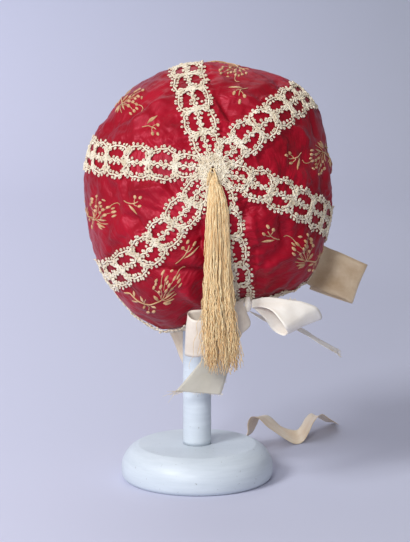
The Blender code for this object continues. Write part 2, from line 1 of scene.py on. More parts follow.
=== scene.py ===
"""Looks of an embroidered bonnet on a plain turned stand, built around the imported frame.

Metres, +Z up, the back of the bonnet towards -Y. Tables that give millimetres say so.
"""

import math

import bpy
import numpy as np
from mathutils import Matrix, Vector


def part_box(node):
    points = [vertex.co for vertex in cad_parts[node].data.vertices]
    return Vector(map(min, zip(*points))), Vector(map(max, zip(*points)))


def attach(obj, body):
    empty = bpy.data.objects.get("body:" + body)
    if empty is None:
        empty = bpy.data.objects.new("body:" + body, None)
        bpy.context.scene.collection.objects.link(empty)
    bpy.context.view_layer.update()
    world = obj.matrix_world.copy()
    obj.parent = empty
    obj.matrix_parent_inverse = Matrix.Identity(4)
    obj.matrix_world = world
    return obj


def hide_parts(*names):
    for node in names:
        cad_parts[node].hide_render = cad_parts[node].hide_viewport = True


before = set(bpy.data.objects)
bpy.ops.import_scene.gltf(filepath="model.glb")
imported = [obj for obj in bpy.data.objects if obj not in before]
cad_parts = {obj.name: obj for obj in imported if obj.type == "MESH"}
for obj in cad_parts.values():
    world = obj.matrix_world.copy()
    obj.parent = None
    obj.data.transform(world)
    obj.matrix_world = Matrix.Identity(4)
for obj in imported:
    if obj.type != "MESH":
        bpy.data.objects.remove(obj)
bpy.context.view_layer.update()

MM = 0.001
BODY = "root"
RANDOM = np.random.default_rng(7)
AWAY = np.array((0.0, 1.0, 0.0))  # straight away from the camera, level

# Camera, at the photograph's angle.
CAMERA_TARGET = Vector((0.0064, 0.0, 0.170))
CAMERA_DISTANCE = 1.83
CAMERA_ELEVATION = math.radians(10.5)
CAMERA_LENS = 151.9
CAMERA_SENSOR = 36.0

# Crown: a shell about an axis that runs out through the middle of its back, where the six seams meet.
CROWN_CENTRE = np.array((8.5, 4.0, 232.5)) * MM
AXIS_TILT = math.radians(21)
AXIS_TURN = math.radians(3)
CROWN_ROLL = math.radians(13)
BACK_DEPTH = 83.0 * MM
BACK_ROUNDNESS = 2.2
RIM_ROUNDNESS = 1.5
RIM_DRAW_SPAN = math.radians(60)
CROWN_ROWS = (  # direction deg from the right, anticlockwise; girth radius mm; rim angle deg; rim draw
    (0, 100.5, 116, 0.99),
    (30, 112.5, 121, 0.97),
    (60, 106.4, 125, 0.97),
    (90, 104.0, 127, 0.97),
    (120, 102.4, 125, 0.97),
    (150, 100.0, 120, 0.98),
    (180, 98.0, 115, 0.99),
    (210, 106.5, 107, 1.00),
    (235, 114.0, 100, 1.00),
    (250, 112.0, 85, 0.97),
    (268, 106.0, 84, 0.88),
    (286, 105.0, 90, 0.93),
    (305, 105.0, 101, 0.99),
    (330, 99.5, 110, 1.00),
)
SEAM_ROWS = (  # direction of each seam in degrees at the centre, half way and at the rim
    (91, 88, 80),
    (33, 30, 36),
    (-30, -31, -25),
    (-91, -91, -91),
    (-134, -144, -160),
    (158, 155, 134),
)
GORES = len(SEAM_ROWS)

# Silk: a fine grid over each gore, its broad folds, and its sharper creases.
SILK_WALL = 1.1 * MM
SILK_COLUMNS = 81
SILK_ROWS = 113
SILK_TIP = 0.012
SILK_UV_SHIFT = 0.37  # between the textures of neighbouring gores
FOLD_ROWS = (  # gore; from across, along; to across, along; height mm; half width mm
    (1, 0.27, 0.33, 0.56, 0.25, -2.6, 5.0),
    (1, 0.53, 0.35, 0.85, 0.37, 2.1, 6.0),
    (1, 0.50, 0.60, 0.80, 0.54, -2.1, 6.0),
    (2, 0.13, 0.55, 0.30, 0.56, -2.9, 5.0),
    (2, 0.15, 0.42, 0.34, 0.47, 2.3, 5.0),
    (2, 0.29, 0.24, 0.63, 0.22, -2.1, 6.0),
    (2, 0.68, 0.60, 0.80, 0.60, -2.6, 6.0),
    (3, 0.30, 0.25, 0.81, 0.38, -3.1, 5.5),
    (3, 0.60, 0.33, 0.79, 0.62, 2.9, 6.0),
    (3, 0.74, 0.52, 0.86, 0.80, -2.6, 6.0),
    (3, 0.24, 0.42, 0.40, 0.52, -2.3, 5.0),
    (3, 0.65, 0.62, 0.32, 0.60, 1.8, 5.0),
    (4, 0.59, 0.25, 0.41, 0.46, -2.9, 6.0),
    (4, 0.79, 0.53, 0.35, 0.60, -2.3, 6.0),
    (4, 0.40, 0.70, 0.66, 0.50, 2.1, 7.0),
    (5, 0.66, 0.38, 0.58, 0.24, 2.0, 5.0),
    (5, 0.40, 0.46, 0.18, 0.43, -2.6, 5.0),
    (5, 0.80, 0.50, 0.45, 0.51, -2.1, 7.0),
    (6, 0.26, 0.54, 0.49, 0.45, -2.3, 6.0),
    (6, 0.40, 0.40, 0.68, 0.38, 2.3, 6.0),
    (6, 0.20, 0.66, 0.50, 0.72, -2.1, 6.0),
)
CREASE_ROWS = (  # as the folds, for the narrow creases that cross them
    (1, 0.56, 0.25, 0.56, 0.20, -1.1, 1.6),
    (1, 0.27, 0.33, 0.56, 0.25, -1.3, 1.8),
    (1, 0.56, 0.54, 0.80, 0.51, 0.9, 1.6),
    (2, 0.13, 0.55, 0.28, 0.56, -1.5, 1.6),
    (2, 0.15, 0.44, 0.32, 0.47, -1.0, 1.6),
    (2, 0.26, 0.37, 0.53, 0.35, 0.9, 1.8),
    (2, 0.29, 0.22, 0.63, 0.20, -0.8, 1.8),
    (3, 0.30, 0.23, 0.62, 0.30, -1.7, 2.0),
    (3, 0.62, 0.30, 0.81, 0.38, -1.5, 1.8),
    (3, 0.63, 0.33, 0.67, 0.48, 1.3, 1.8),
    (3, 0.67, 0.48, 0.79, 0.66, 1.3, 1.8),
    (3, 0.71, 0.51, 0.86, 0.81, -1.2, 2.0),
    (3, 0.24, 0.41, 0.40, 0.51, -1.1, 1.6),
    (3, 0.65, 0.59, 0.30, 0.57, 0.8, 1.5),
    (3, 0.70, 0.66, 0.36, 0.62, 0.8, 1.5),
    (3, 0.75, 0.73, 0.43, 0.67, 0.8, 1.5),
    (4, 0.59, 0.25, 0.41, 0.46, -1.4, 2.0),
    (4, 0.79, 0.53, 0.35, 0.59, -1.0, 1.8),
    (4, 0.39, 0.69, 0.66, 0.48, 0.8, 1.8),
    (5, 0.66, 0.37, 0.58, 0.23, 0.9, 1.5),
    (5, 0.48, 0.38, 0.24, 0.31, -0.9, 1.5),
    (5, 0.40, 0.43, 0.16, 0.42, -1.2, 1.7),
    (5, 0.80, 0.48, 0.45, 0.49, -0.9, 1.8),
    (6, 0.34, 0.23, 0.70, 0.16, -1.2, 1.6),
    (6, 0.20, 0.62, 0.27, 0.63, -1.1, 1.6),
    (6, 0.26, 0.52, 0.49, 0.43, -1.2, 1.8),
    (6, 0.47, 0.47, 0.60, 0.60, -0.9, 1.8),
)
FOLD_DEPTH = 1.35  # how far the folds and creases stand out, as a share of the tables' heights
FOLD_CLEAR = {"centre": 28.0, "rim": 12.0, "seam": 14.0, "fade": 9.0}  # mm
CREASE_CLEAR = {"centre": 16.0, "rim": 9.0, "seam": 7.0, "fade": 6.0}  # mm
CRUMPLE_SIZES = ((26.0, 1.5), (13.0, 0.6))  # wavelength mm; height mm
WRINKLE_SIZES = (  # wavelength mm; length along the wrinkle, in wavelengths; heading deg; height mm
    (10.0, 4.5, 25, 1.1),
    (7.0, 5.0, -20, 0.75),
    (4.2, 6.0, 10, 0.3),
)
PUCKER_HEIGHT = 0.6 * MM
PUCKER_LENGTH = 6.2 * MM
PUCKER_REACH = 15.0 * MM

# Cloth simulation of the silk, at ten times its size.
SIM_SETTINGS = {
    "vertex_group_mass": "pinned",
    "quality": 5,
    "mass": 0.12,
    "tension_stiffness": 20,
    "compression_stiffness": 20,
    "shear_stiffness": 8,
    "bending_stiffness": 0.25,
    "air_damping": 2.0,
    "shrink_min": -0.035,
}
SIM_SCALE = 10.0
SIM_COLUMNS = 41
SIM_ROWS = 57
SIM_FRAMES = 22
SIM_CAP = 2.2 * MM
PIN_LEVELS = 10
SMOOTH_HALF = 4  # grid steps to each side that an average takes in
SMOOTH_ROUNDS = 3

# Braid: three knobbly cords over each seam, bars across them, and a small ring at each picot.
SEAM_STEPS = 200
BRAID_PERIOD = 20.6 * MM
BRAID_START = 8.6 * MM
BRAID_RIM_MARGIN = 11.8 * MM
BRAID_WAIST = 7.0 * MM
BRAID_SWELL = 12.0 * MM
BRAID_ROUNDNESS = 0.55
BRAID_NODE_RINGS = 9
BRAID_TAPER_FROM = 0.42
BRAID_TAPER_END = 34.0 * MM
CORD_RADIUS = 0.74 * MM
CORD_KNOT = 2.1 * MM
CORD_LIFT = 0.95 * MM
CORD_STEP = 0.52 * MM
THREAD_SIDES = 5
RING_STEPS = 8
PICOT_SPACING = 3.35 * MM
PICOT_REACH = 2.1 * MM
PICOT_RADIUS = 0.7 * MM
PICOT_THREAD = 0.5 * MM
BAR_STEPS = 36  # spots along a bar
EDGE_STEPS = 1150
EDGE_SWINGS = 74  # waves of its cords round the rim
EDGE_CORDS = (  # inset, swing, lift in the middle of the turned-up stretch, all mm; sides of its picots
    (1.0, 0.3, 1.5, (-1,)),
    (4.7, 1.1, 1.5, (1, -1)),
    (8.2, 0.9, 0.9, (1,)),
)
EDGE_TURNED_MIDDLE = math.radians(238)
EDGE_TURNED_HALF = math.radians(13)
EDGE_DRAWN_IN = (  # direction deg; how much further from the rim the edging lies, mm
    (0, 0.0),
    (219, 0.0),
    (229, 9.0),
    (238, 5.5),
    (248, 1.0),
    (284, 1.0),
    (293, 5.0),
    (300, 8.5),
    (312, 0.0),
    (360, 0.0),
)
CENTRE_RADIUS = 11.5 * MM
CENTRE_TURNS = 3
CENTRE_STEPS = 420
CENTRE_RINGS = 46
CENTRE_LARGE = 1.12  # size of its rings, as a share of a picot's
GOLDEN_TURN = math.pi * (3 - math.sqrt(5))

# Embroidery, drawn as seen from behind: mm to the right and up from the motif's own middle.
SPRIG_STEMS = (  # points of each stem, then its radius
    (((6.3, -1.1), (2.6, -0.6), (0.0, 0.2), (-2.6, 2.2), (-4.6, 4.9)), 0.42),
    (((-2.4, 2.0), (-1.4, 3.4), (-1.0, 5.4)), 0.34),
    (((-1.2, 0.9), (-3.2, 0.2), (-5.4, 0.6)), 0.34),
)
SPRIG_LEAVES = (  # from x, y; to x, y; half width
    (1.7, -1.7, -7.7, -6.6, 1.05),
)
SPRIG_BERRIES = (  # x, y, half width, half height, turn deg
    (-4.8, 9.0, 1.25, 1.75, 8),
    (-0.6, 7.2, 1.25, 1.7, -20),
    (-7.0, 1.2, 1.3, 1.6, 35),
)
SPRAY_STEMS = (
    (((-24.0, 1.2), (-18.0, -1.2), (-11.5, -2.8), (-4.0, -1.2), (0.0, 0.0)), 0.62),
    (((0.0, 0.0), (-1.0, 2.6), (-0.6, 5.2)), 0.32),
    (((0.0, 0.0), (0.9, 2.6), (1.8, 6.0)), 0.32),
    (((0.0, 0.0), (3.0, 1.6), (5.4, 5.6)), 0.32),
    (((0.0, 0.0), (4.6, -1.2), (10.0, -0.6)), 0.36),
    (((-9.4, -3.4), (-7.6, -5.0), (-7.2, -8.4)), 0.32),
    (((6.6, 14.6), (8.0, 18.2), (10.4, 19.2), (13.0, 17.2)), 0.34),
    (((-11.4, -1.8), (-11.2, 0.4), (-11.0, 2.2)), 0.34),
    (((-0.6, 2.0), (-3.4, 6.0), (-7.0, 9.2)), 0.26),
    (((-0.6, 5.2), (-1.6, 8.0), (-2.4, 10.4)), 0.26),
    (((1.8, 6.0), (2.2, 8.2), (3.0, 9.8)), 0.26),
    (((2.4, 2.4), (5.6, 7.0), (9.2, 9.2)), 0.26),
    (((3.0, 9.8), (4.4, 11.4), (5.6, 13.0)), 0.24),
    (((-2.4, 10.4), (-3.8, 15.0), (-4.8, 19.2)), 0.24),
    (((0.2, 8.4), (-0.4, 11.6), (-0.5, 15.0)), 0.24),
)
SPRAY_LEAVES = (
    (-11.6, -1.6, -15.8, 3.4, 0.9),
    (-15.6, -2.8, -20.4, -5.2, 0.85),
    (-19.6, -0.2, -22.6, 4.4, 0.85),
    (-22.6, 0.8, -27.6, 0.2, 0.8),
    (-1.8, -0.4, -6.6, 5.2, 0.9),
    (1.2, -2.2, 8.8, -4.2, 1.0),
    (1.0, -2.8, 7.0, -6.4, 1.0),
    (-6.6, -3.4, -2.6, -5.6, 0.9),
    (-10.6, -4.4, -10.8, -8.0, 0.9),
    (0.8, 0.6, 8.6, 2.6, 0.9),
)
SPRAY_BERRIES = (
    (-8.3, 16.2, 1.2, 1.6, 12),
    (-0.4, 16.4, 1.2, 1.6, -14),
    (-5.4, 20.6, 1.2, 1.5, 10),
    (1.4, 19.8, 0.8, 1.5, 70),
    (6.2, 14.2, 1.2, 1.4, -10),
    (-8.2, 11.0, 1.0, 1.5, 30),
    (-3.0, 11.6, 1.2, 1.6, 10),
    (3.4, 11.2, 1.2, 1.6, 14),
    (10.4, 10.2, 1.3, 1.4, 40),
    (-3.4, 7.4, 1.1, 1.4, 20),
    (1.8, 7.6, 1.2, 1.5, 0),
    (6.0, 6.8, 1.3, 1.5, -20),
    (-7.6, 13.6, 1.0, 1.4, 20),
    (1.2, 13.6, 1.0, 1.4, -5),
    (11.8, 6.4, 1.1, 1.4, -50),
    (9.0, 13.4, 1.0, 1.3, -25),
    (-7.4, -10.4, 1.2, 1.3, 20),
    (-3.8, -9.4, 1.2, 1.4, 30),
)
SPRIG_PLACES = (  # gore; across, along; turn of the outward side deg; mirrored; stretch along the gore
    (1, 0.54, 0.38, 0, 1, 1.15),
    (2, 0.51, 0.41, 0, 0, 1.15),
    (3, 0.49, 0.47, 0, 0, 1.15),
    (4, 0.60, 0.45, 0, 1, 1.15),
    (5, 0.52, 0.41, 0, 1, 1.10),
    (6, 0.44, 0.34, 0, 0, 1.15),
)
SPRAY_PLACES = (
    (1, 0.43, 0.58, 0, 1, 1.45),
    (2, 0.46, 0.60, -36, 0, 1.5),
    (3, 0.38, 0.70, -15, 1, 1.5),
    (4, 0.60, 0.68, 0, 0, 1.45),
    (5, 0.46, 0.64, -39, 0, 1.6),
    (6, 0.46, 0.57, -30, 0, 1.45),
)
SPRIG_OUTWARD = math.radians(-49)
SPRAY_OUTWARD = math.radians(-111)
STITCH_HEIGHT = 0.75 * MM
STEM_STEPS = 8  # for each point of a stem
STEM_SIDES = 6
PAD_SIDES = 18
PAD_RIB = 0.55  # from one stitch to the next, mm
PAD_DOME = (  # of a padded stitch: share of its width, share of its height
    (1.0, -0.12),
    (0.96, 0.45),
    (0.8, 0.8),
    (0.5, 0.97),
    (0.12, 1.0),
)

# Tassel, with its rows from the top down.
TASSEL_HEAD_X = 12.0 * MM
TASSEL_HEAD_Z = 257.0 * MM
TASSEL_BINDINGS = 3
TASSEL_BINDING_RADIUS = 0.5 * MM
TASSEL_LOOP_RADIUS = 0.6 * MM
TASSEL_HEAD_SIDES = 6
TASSEL_ROWS = (  # height mm; middle x mm; half width mm; depth mm
    (262.0, 11.6, 1.4, 1.0),
    (258.5, 12.0, 3.6, 3.2),
    (254.5, 12.8, 3.0, 2.6),
    (250.0, 14.4, 4.8, 3.4),
    (240.0, 15.6, 6.8, 4.2),
    (228.0, 16.0, 8.2, 4.8),
    (205.0, 16.0, 9.4, 5.6),
    (178.0, 16.4, 10.2, 6.6),
    (152.0, 17.4, 10.6, 7.4),
    (129.0, 18.4, 11.6, 7.6),
    (100.0, 19.2, 13.0, 7.6),
)
TASSEL_STRANDS = 240
TASSEL_LOCKS = 26
TASSEL_RINGS = 56
TASSEL_TIP = (104.0 * MM, 121.0 * MM)
TASSEL_LIFT = 2.6 * MM
TASSEL_LOOSE_OVER = 120 * MM  # from its head down to where the strands hang loose
TASSEL_LOCK_PITCH = (45, 110)  # mm
TASSEL_WAVES = ((17.0, 0.85), (8.0, 0.5), (4.6, 0.28))  # wavelength mm; height mm
TASSEL_FLARE = 1.6 * MM
TASSEL_STRAYS = 0.07  # share of strands that hang beside the rest
TASSEL_STRAY_X = (-1.5 * MM, 4.5 * MM)  # how far beside: middle, spread
STRAND_RADIUS = 0.38 * MM
STRAND_SIDES = 4
FAR_BEHIND = -0.2  # y from which the search for the crown's back starts
HALVINGS = 24  # steps of that search

# Ribbon: every row gives a point on each edge of the strip, mm.
RIBBON_WIDTH = 34.0 * MM
RIBBON_THICKNESS = 0.34 * MM
RIBBON_STEPS = 10
RIBBON_COLUMNS = 15
RIBBON_HELD = 12  # steps from its start over which the ripples grow
BOW_LOOP_LEFT = (  # x, y, z on one edge; the same on the other
    ((36.4, -58.2, 158.0), (36.4, -58.2, 151.5)),
    ((29.5, -65.0, 157.0), (41.5, -63.5, 139.0)),
    ((18.5, -72.0, 152.0), (27.5, -69.0, 128.5)),
    ((7.0, -76.5, 146.5), (12.5, -74.0, 119.5)),
    ((-2.0, -76.5, 146.0), (0.0, -74.0, 116.0)),
    ((-7.0, -72.0, 149.0), (-8.5, -69.0, 116.0)),
    ((-5.0, -68.2, 151.5), (-7.0, -64.5, 117.0)),
    ((5.5, -67.5, 152.5), (6.5, -61.0, 122.0)),
    ((19.5, -62.0, 154.0), (25.0, -58.0, 131.5)),
    ((36.6, -53.8, 157.0), (36.6, -53.8, 151.5)),
)
BOW_LOOP_RIGHT = (
    ((42.8, -58.0, 158.0), (42.8, -58.0, 151.5)),
    ((55.0, -60.0, 160.5), (49.5, -64.0, 153.5)),
    ((69.5, -58.0, 158.5), (58.0, -69.0, 151.5)),
    ((82.5, -54.0, 155.5), (65.0, -73.0, 144.5)),
    ((94.0, -50.0, 150.0), (69.0, -73.0, 138.0)),
    ((98.0, -45.0, 141.0), (70.5, -68.0, 134.0)),
    ((93.0, -40.0, 138.5), (67.0, -61.0, 130.5)),
    ((80.0, -41.0, 145.0), (59.5, -56.0, 133.5)),
    ((65.0, -46.0, 151.0), (52.5, -57.5, 143.5)),
    ((42.8, -53.8, 157.0), (42.8, -53.8, 151.5)),
)
BOW_TAIL_LEFT = (
    ((35.0, -52.0, 149.6), (39.4, -52.6, 148.4)),
    ((24.5, -50.0, 141.0), (37.5, -48.0, 134.5)),
    ((14.0, -49.0, 127.5), (32.5, -44.5, 121.5)),
    ((5.5, -50.0, 111.0), (28.0, -43.5, 108.5)),
    ((-5.5, -52.0, 97.0), (23.5, -44.0, 94.0)),
    ((-16.5, -54.0, 84.5), (19.0, -46.0, 79.5)),
)
BOW_TAIL_RIGHT = (
    ((41.4, -53.0, 148.0), (41.6, -58.0, 148.2)),
    ((56.0, -27.0, 137.0), (56.5, -46.0, 136.8)),
    ((71.0, -8.0, 130.0), (71.0, -38.0, 132.2)),
    ((85.5, 3.0, 122.0), (84.5, -30.0, 125.2)),
    ((99.0, 6.0, 113.0), (98.0, -27.0, 116.0)),
    ((113.0, 7.0, 105.0), (112.0, -26.0, 107.3)),
)
FRAY_ROWS = (  # ribbon; edge from, to; heading; threads; longest mm
    ("bow_tail_left", (-16.5, -54.0, 84.5), (-10.0, -52.5, 83.6), (-1.0, -0.1, -0.35), 16, 8.0),
    ("bow_tail_left", (-16.0, -54.0, 84.4), (19.0, -46.0, 79.5), (-0.1, 0.0, -1.0), 40, 1.8),
    ("bow_tail_left", (23.0, -44.5, 92.5), (19.0, -46.0, 79.5), (1.0, 0.0, -0.3), 10, 2.2),
    ("bow_tail_right", (113.0, 7.0, 105.0), (112.0, -26.0, 107.3), (0.9, 0.0, -0.5), 22, 3.6),
    ("bow_tail_right", (105.5, -26.8, 111.2), (111.0, -26.2, 107.9), (0.2, -0.2, 1.0), 14, 3.4),
    ("bow_loop_right", (69.0, -58.4, 158.6), (78.0, -55.5, 156.8), (-0.2, -0.2, 1.0), 16, 2.6),
)
FRAY_RADIUS = 0.13 * MM
FRAY_STEPS = 8
FRAY_SIDES = 4
SLANT = (0.3, 0.5, 0.8)  # a direction across the loose threads
KNOT_CENTRE = (39.8, -55.8, 154.0)
KNOT_SIZE = (2.8, 4.5, 6.0)
KNOT_SIDES = 40
KNOT_RINGS = 15
TIE_INSET = 9.0 * MM
TIE_OVERHANG = 2.5 * MM
TIE_UNDER = 3.5 * MM
TIE_RIGHT_SEWN_AT = (329, 311)
TIE_RIGHT = (
    ((104.0, 43.0, 183.0), (88.5, 29.0, 155.0)),
    ((117.0, 40.0, 178.0), (103.0, 28.0, 148.0)),
    ((130.0, 36.5, 172.5), (118.0, 26.0, 142.5)),
    ((137.0, 35.5, 169.5), (124.5, 26.5, 139.0)),
    ((139.0, 39.0, 168.0), (126.0, 30.0, 137.5)),
    ((134.0, 43.0, 169.0), (121.0, 33.0, 138.5)),
    ((121.0, 49.0, 172.0), (108.0, 37.5, 142.0)),
    ((105.0, 54.5, 176.5), (92.0, 43.0, 147.0)),
)
TIE_LEFT_SEWN_AT = (210, 231)
TIE_LEFT = (
    ((-39.0, 21.0, 138.0), (-22.0, 11.0, 124.0)),
    ((-23.5, 25.0, 116.0), (-9.0, 13.8, 117.0)),
    ((-17.0, 31.0, 100.0), (-8.0, 15.5, 106.0)),
    ((-11.0, 41.0, 83.0), (-6.0, 20.0, 92.0)),
    ((-4.0, 53.0, 67.0), (-3.0, 28.0, 77.0)),
    ((0.0, 68.0, 50.0), (0.0, 40.0, 61.0)),
    ((3.0, 84.0, 33.0), (2.0, 55.0, 45.0)),
    ((6.0, 97.0, 18.0), (5.0, 68.0, 29.0)),
    ((11.0, 104.0, 8.0), (9.0, 74.0, 14.5)),
    ((19.0, 107.0, 3.0), (17.0, 76.5, 4.5)),
    ((28.0, 107.0, 3.5), (26.0, 77.0, 4.0)),
    ((38.5, 105.5, 5.0), (36.0, 76.0, 9.0)),
    ((46.5, 105.0, 9.0), (42.0, 75.0, 16.5)),
    ((50.5, 106.0, 16.0), (42.5, 76.5, 24.5)),
    ((54.0, 108.5, 22.5), (45.5, 78.5, 29.8)),
    ((59.7, 111.0, 23.2), (51.5, 80.8, 28.0)),
    ((65.4, 115.0, 18.6), (58.2, 84.0, 21.2)),
    ((71.6, 119.5, 11.8), (65.6, 88.5, 14.6)),
    ((79.2, 125.5, 7.2), (75.5, 94.0, 6.5)),
    ((86.0, 131.5, 5.0), (84.0, 99.5, 0.9)),
    ((90.0, 137.0, 7.5), (90.5, 105.0, 1.6)),
    ((94.0, 143.5, 12.5), (95.6, 111.5, 8.0)),
    ((99.5, 150.5, 15.0), (100.5, 118.5, 15.5)),
    ((106.0, 159.0, 9.5), (107.5, 127.5, 20.0)),
    ((114.0, 168.5, 3.2), (115.5, 138.0, 13.0)),
    ((122.0, 176.0, 0.9), (123.5, 148.5, 5.5)),
)
RIBBON_LOOKS = {  # darkest and lightest colour; opacity where it is thin
    "cream": (((0.90, 0.83, 0.73), (1.0, 0.97, 0.91)),),
    # the cream ribbon made darker, for painted shade on the bow's left loop
    "worn": (((0.64, 0.56, 0.47), (0.82, 0.75, 0.66)),),
    # the cream ribbon, see-through and made darker for painted shade, for the bow's left tail
    "sheer": (((0.58, 0.54, 0.43), (0.76, 0.72, 0.60)), 0.7),
    # the ties' tan made darker for painted shade, for the right chin tie
    "tanned": (((0.52, 0.36, 0.21), (0.80, 0.66, 0.47)),),
    # the ties' tan made lighter for painted light, for the left chin tie lying on the floor
    "faded": (((0.78, 0.58, 0.36), (1.0, 0.88, 0.68)),),
}
RIBBON_ROWS = (  # node; edges; where sewn; silk; how held; what it rests on; seed; ripple, cup mm
    ("bow_loop_left", BOW_LOOP_LEFT, None, "worn", "folded", "bow_knot", 3, 0.35, 0.4),
    ("bow_loop_right", BOW_LOOP_RIGHT, None, "cream", "folded", "bow_knot", 4, 0.35, 0.4),
    ("bow_tail_left", BOW_TAIL_LEFT, None, "sheer", "hung", "bow_knot", 5, 0.35, 0.4),
    ("bow_tail_right", BOW_TAIL_RIGHT, None, "cream", "hung", "bow_knot", 6, 0.35, 0.4),
    ("chin_tie_right", TIE_RIGHT, TIE_RIGHT_SEWN_AT, "tanned", "hung", "crown_gore_3", 8, 0.35, 0.4),
    ("chin_tie_left", TIE_LEFT, TIE_LEFT_SEWN_AT, "faded", "hung", "crown_gore_4", 9, 0.2, 0.2),
)

# Stand, radius and height in mm.
BASE_PROFILE = (
    (57.6, 0.0),
    (59.0, 0.5),
    (60.9, 3.2),
    (61.4, 9.0),
    (60.4, 15.0),
    (57.6, 20.6),
    (53.2, 25.0),
    (48.4, 27.6),
    (46.6, 28.0),
)
BASE_TOP = 28.2
POST_RADIUS = 11.4
HEAD_RADIUS = 60.0
HEAD_CENTRE_Z = 263.4
HEAD_UNDERSIDE_Z = 238.0
HEAD_SHARE = 0.995  # of its radius, inside the silk
HEAD_HIGHEST = math.radians(89)
STAND_SIDES = 112
BASE_STEPS = 5
POST_STEPS = 60
HEAD_STEPS = 40
TURNED_TIP = 0.5  # radius of a turned part's end caps

# Threads of the braid, the embroidery and the tassel.
THREAD_ROWS = (  # name; darkest and lightest colour; roughness; twist; sheen; grain
    ("cream_cotton", ((0.72, 0.60, 0.43), (0.94, 0.86, 0.69)), 0.75, 900, 0.12, (160, 160, 160)),
    ("pale_gold_silk", ((0.50, 0.27, 0.11), (0.76, 0.50, 0.27)), 0.4, 1500, 0.1, (160, 160, 160)),
    ("straw_silk", ((0.76, 0.44, 0.17), (1.0, 0.81, 0.48)), 0.4, 800, 0.1, (900, 900, 22)),
)

# Stage and lights, in metres.
FLOOR_FRONT = -3.5
FLOOR_HALF = 4.0
SWEEP_START = 1.5
SWEEP_RADIUS = 1.5
SWEEP_STEPS = 24
WALL_TOP = 4.0
LIGHT_ROWS = (  # name; place; target; size; watts; colour
    ("key", (-2.7, -2.6, 2.9), (0, 0, 0.2), (1.3, 1.3), 158.0, (0.98, 0.99, 1.0)),
    ("front", (-0.7, -3.3, 1.5), (0, 0, 0.2), (0.5, 0.5), 42.0, (1.0, 1.0, 1.0)),
    ("backdrop", (-0.3, 1.7, 2.2), (0, 1.8, 0), (2.6, 1.4), 14.0, (1.0, 1.0, 1.0)),
)
WORLD_COLOUR = (0.98, 0.97, 1.0)
WORLD_STRENGTH = 0.33


# Meshes


def gap(first, second):
    """Distances between the points of two arrays."""
    return np.linalg.norm(first - second, axis=-1)


def run_along(line):
    """How far along a line each of its points lies."""
    return np.concatenate(([0.0], gap(line[1:], line[:-1]).cumsum()))


def mesh_of(name, points, face_sets, finish, uv=None):
    """A smooth-shaded object from points and arrays of faces, which may have several corner counts."""
    mesh = bpy.data.meshes.new(name)
    points = np.asarray(points, np.float32).reshape(-1, 3)
    mesh.vertices.add(len(points))
    mesh.vertices.foreach_set("co", points.ravel())
    corners = np.concatenate([np.asarray(f, np.int32).ravel() for f in face_sets])
    sizes = np.concatenate([np.full(len(f), f.shape[1], np.int32) for f in face_sets])
    mesh.loops.add(len(corners))
    mesh.loops.foreach_set("vertex_index", corners)
    mesh.polygons.add(len(sizes))
    mesh.polygons.foreach_set("loop_start", np.concatenate(([0], np.cumsum(sizes)[:-1])).astype(np.int32))
    mesh.update(calc_edges=True)
    if uv is not None:
        layer = mesh.uv_layers.new(name="cloth")
        layer.data.foreach_set("uv", np.asarray(uv, np.float32).reshape(-1, 2)[corners].ravel())
    mesh.shade_smooth()
    mesh.materials.append(finish)
    obj = bpy.data.objects.new(name, mesh)
    bpy.context.scene.collection.objects.link(obj)
    return obj


def joined(parts):
    """Points and faces of several (points, face sets) parts as one."""
    points, faces, start = [], [], 0
    for part_points, part_faces in parts:
        flat = np.asarray(part_points).reshape(-1, 3)
        points.append(flat)
        faces += [f + start for f in part_faces]
        start += len(flat)
    return np.concatenate(points), faces


def grid_faces(rows, columns, start=0, closed_rows=False, closed_columns=False):
    """Quads over a grid of points, joined round where closed."""
    i = np.arange(rows if closed_rows else rows - 1)[:, None]
    j = np.arange(columns if closed_columns else columns - 1)[None, :]
    near, far = i * columns, (i + 1) % rows * columns
    right = (j + 1) % columns
    return (np.stack([near + j, near + right, far + right, far + j], -1) + start).reshape(-1, 4)


def capped_faces(rings, sides):
    """Faces of a pile of rings of points, with a cap at each end."""
    first = np.arange(sides)[None, ::-1]
    return [grid_faces(rings, sides, closed_columns=True), first, first[:, ::-1] + (rings - 1) * sides]


def unit(vectors):
    return vectors / np.maximum(np.linalg.norm(vectors, axis=-1, keepdims=True), 1e-12)


def tubes(lines, across, out, radius_across, radius_out, sides, loop=False):
    """Tubes of one count of rings along many lines: arrays are (tubes, rings, 3) or (tubes, rings)."""
    count, rings = lines.shape[:2]
    turn = 2 * np.pi * np.arange(sides) / sides
    wide = (radius_across[..., None] * np.cos(turn))[..., None] * across[:, :, None, :]
    high = (radius_out[..., None] * np.sin(turn))[..., None] * out[:, :, None, :]
    points = lines[:, :, None, :] + wide + high
    if loop:
        faces = [grid_faces(rings, sides, closed_rows=True, closed_columns=True)]
    else:
        faces = capped_faces(rings, sides)
    starts = (np.arange(count) * rings * sides)[:, None, None]
    return points, [(one[None] + starts).reshape(-1, one.shape[1]) for one in faces]


def tube(line, across, out, radii, sides, flatness=1.0, loop=False):
    """One tube along a line: radii holds a number for each point, or one for all."""
    radii = np.broadcast_to(radii, line.shape[:1])[None]
    return tubes(line[None], across[None], out[None], radii, radii * flatness, sides, loop)


def wall_of(top, under):
    """A closed wall between two like grids of points."""
    rows, columns = top.shape[:2]
    count = rows * columns
    index = np.arange(count).reshape(rows, columns)
    border = np.concatenate([index[0, :-1], index[:-1, -1], index[-1, :0:-1], index[:0:-1, 0]])
    after = np.roll(border, -1)
    faces = [
        grid_faces(rows, columns),
        grid_faces(rows, columns, count)[:, ::-1],
        np.stack([after, border, border + count, after + count], -1),
    ]
    return np.concatenate([top.reshape(-1, 3), under.reshape(-1, 3)]), faces


def smoothstep(value):
    value = np.clip(value, 0.0, 1.0)
    return value * value * (3 - 2 * value)


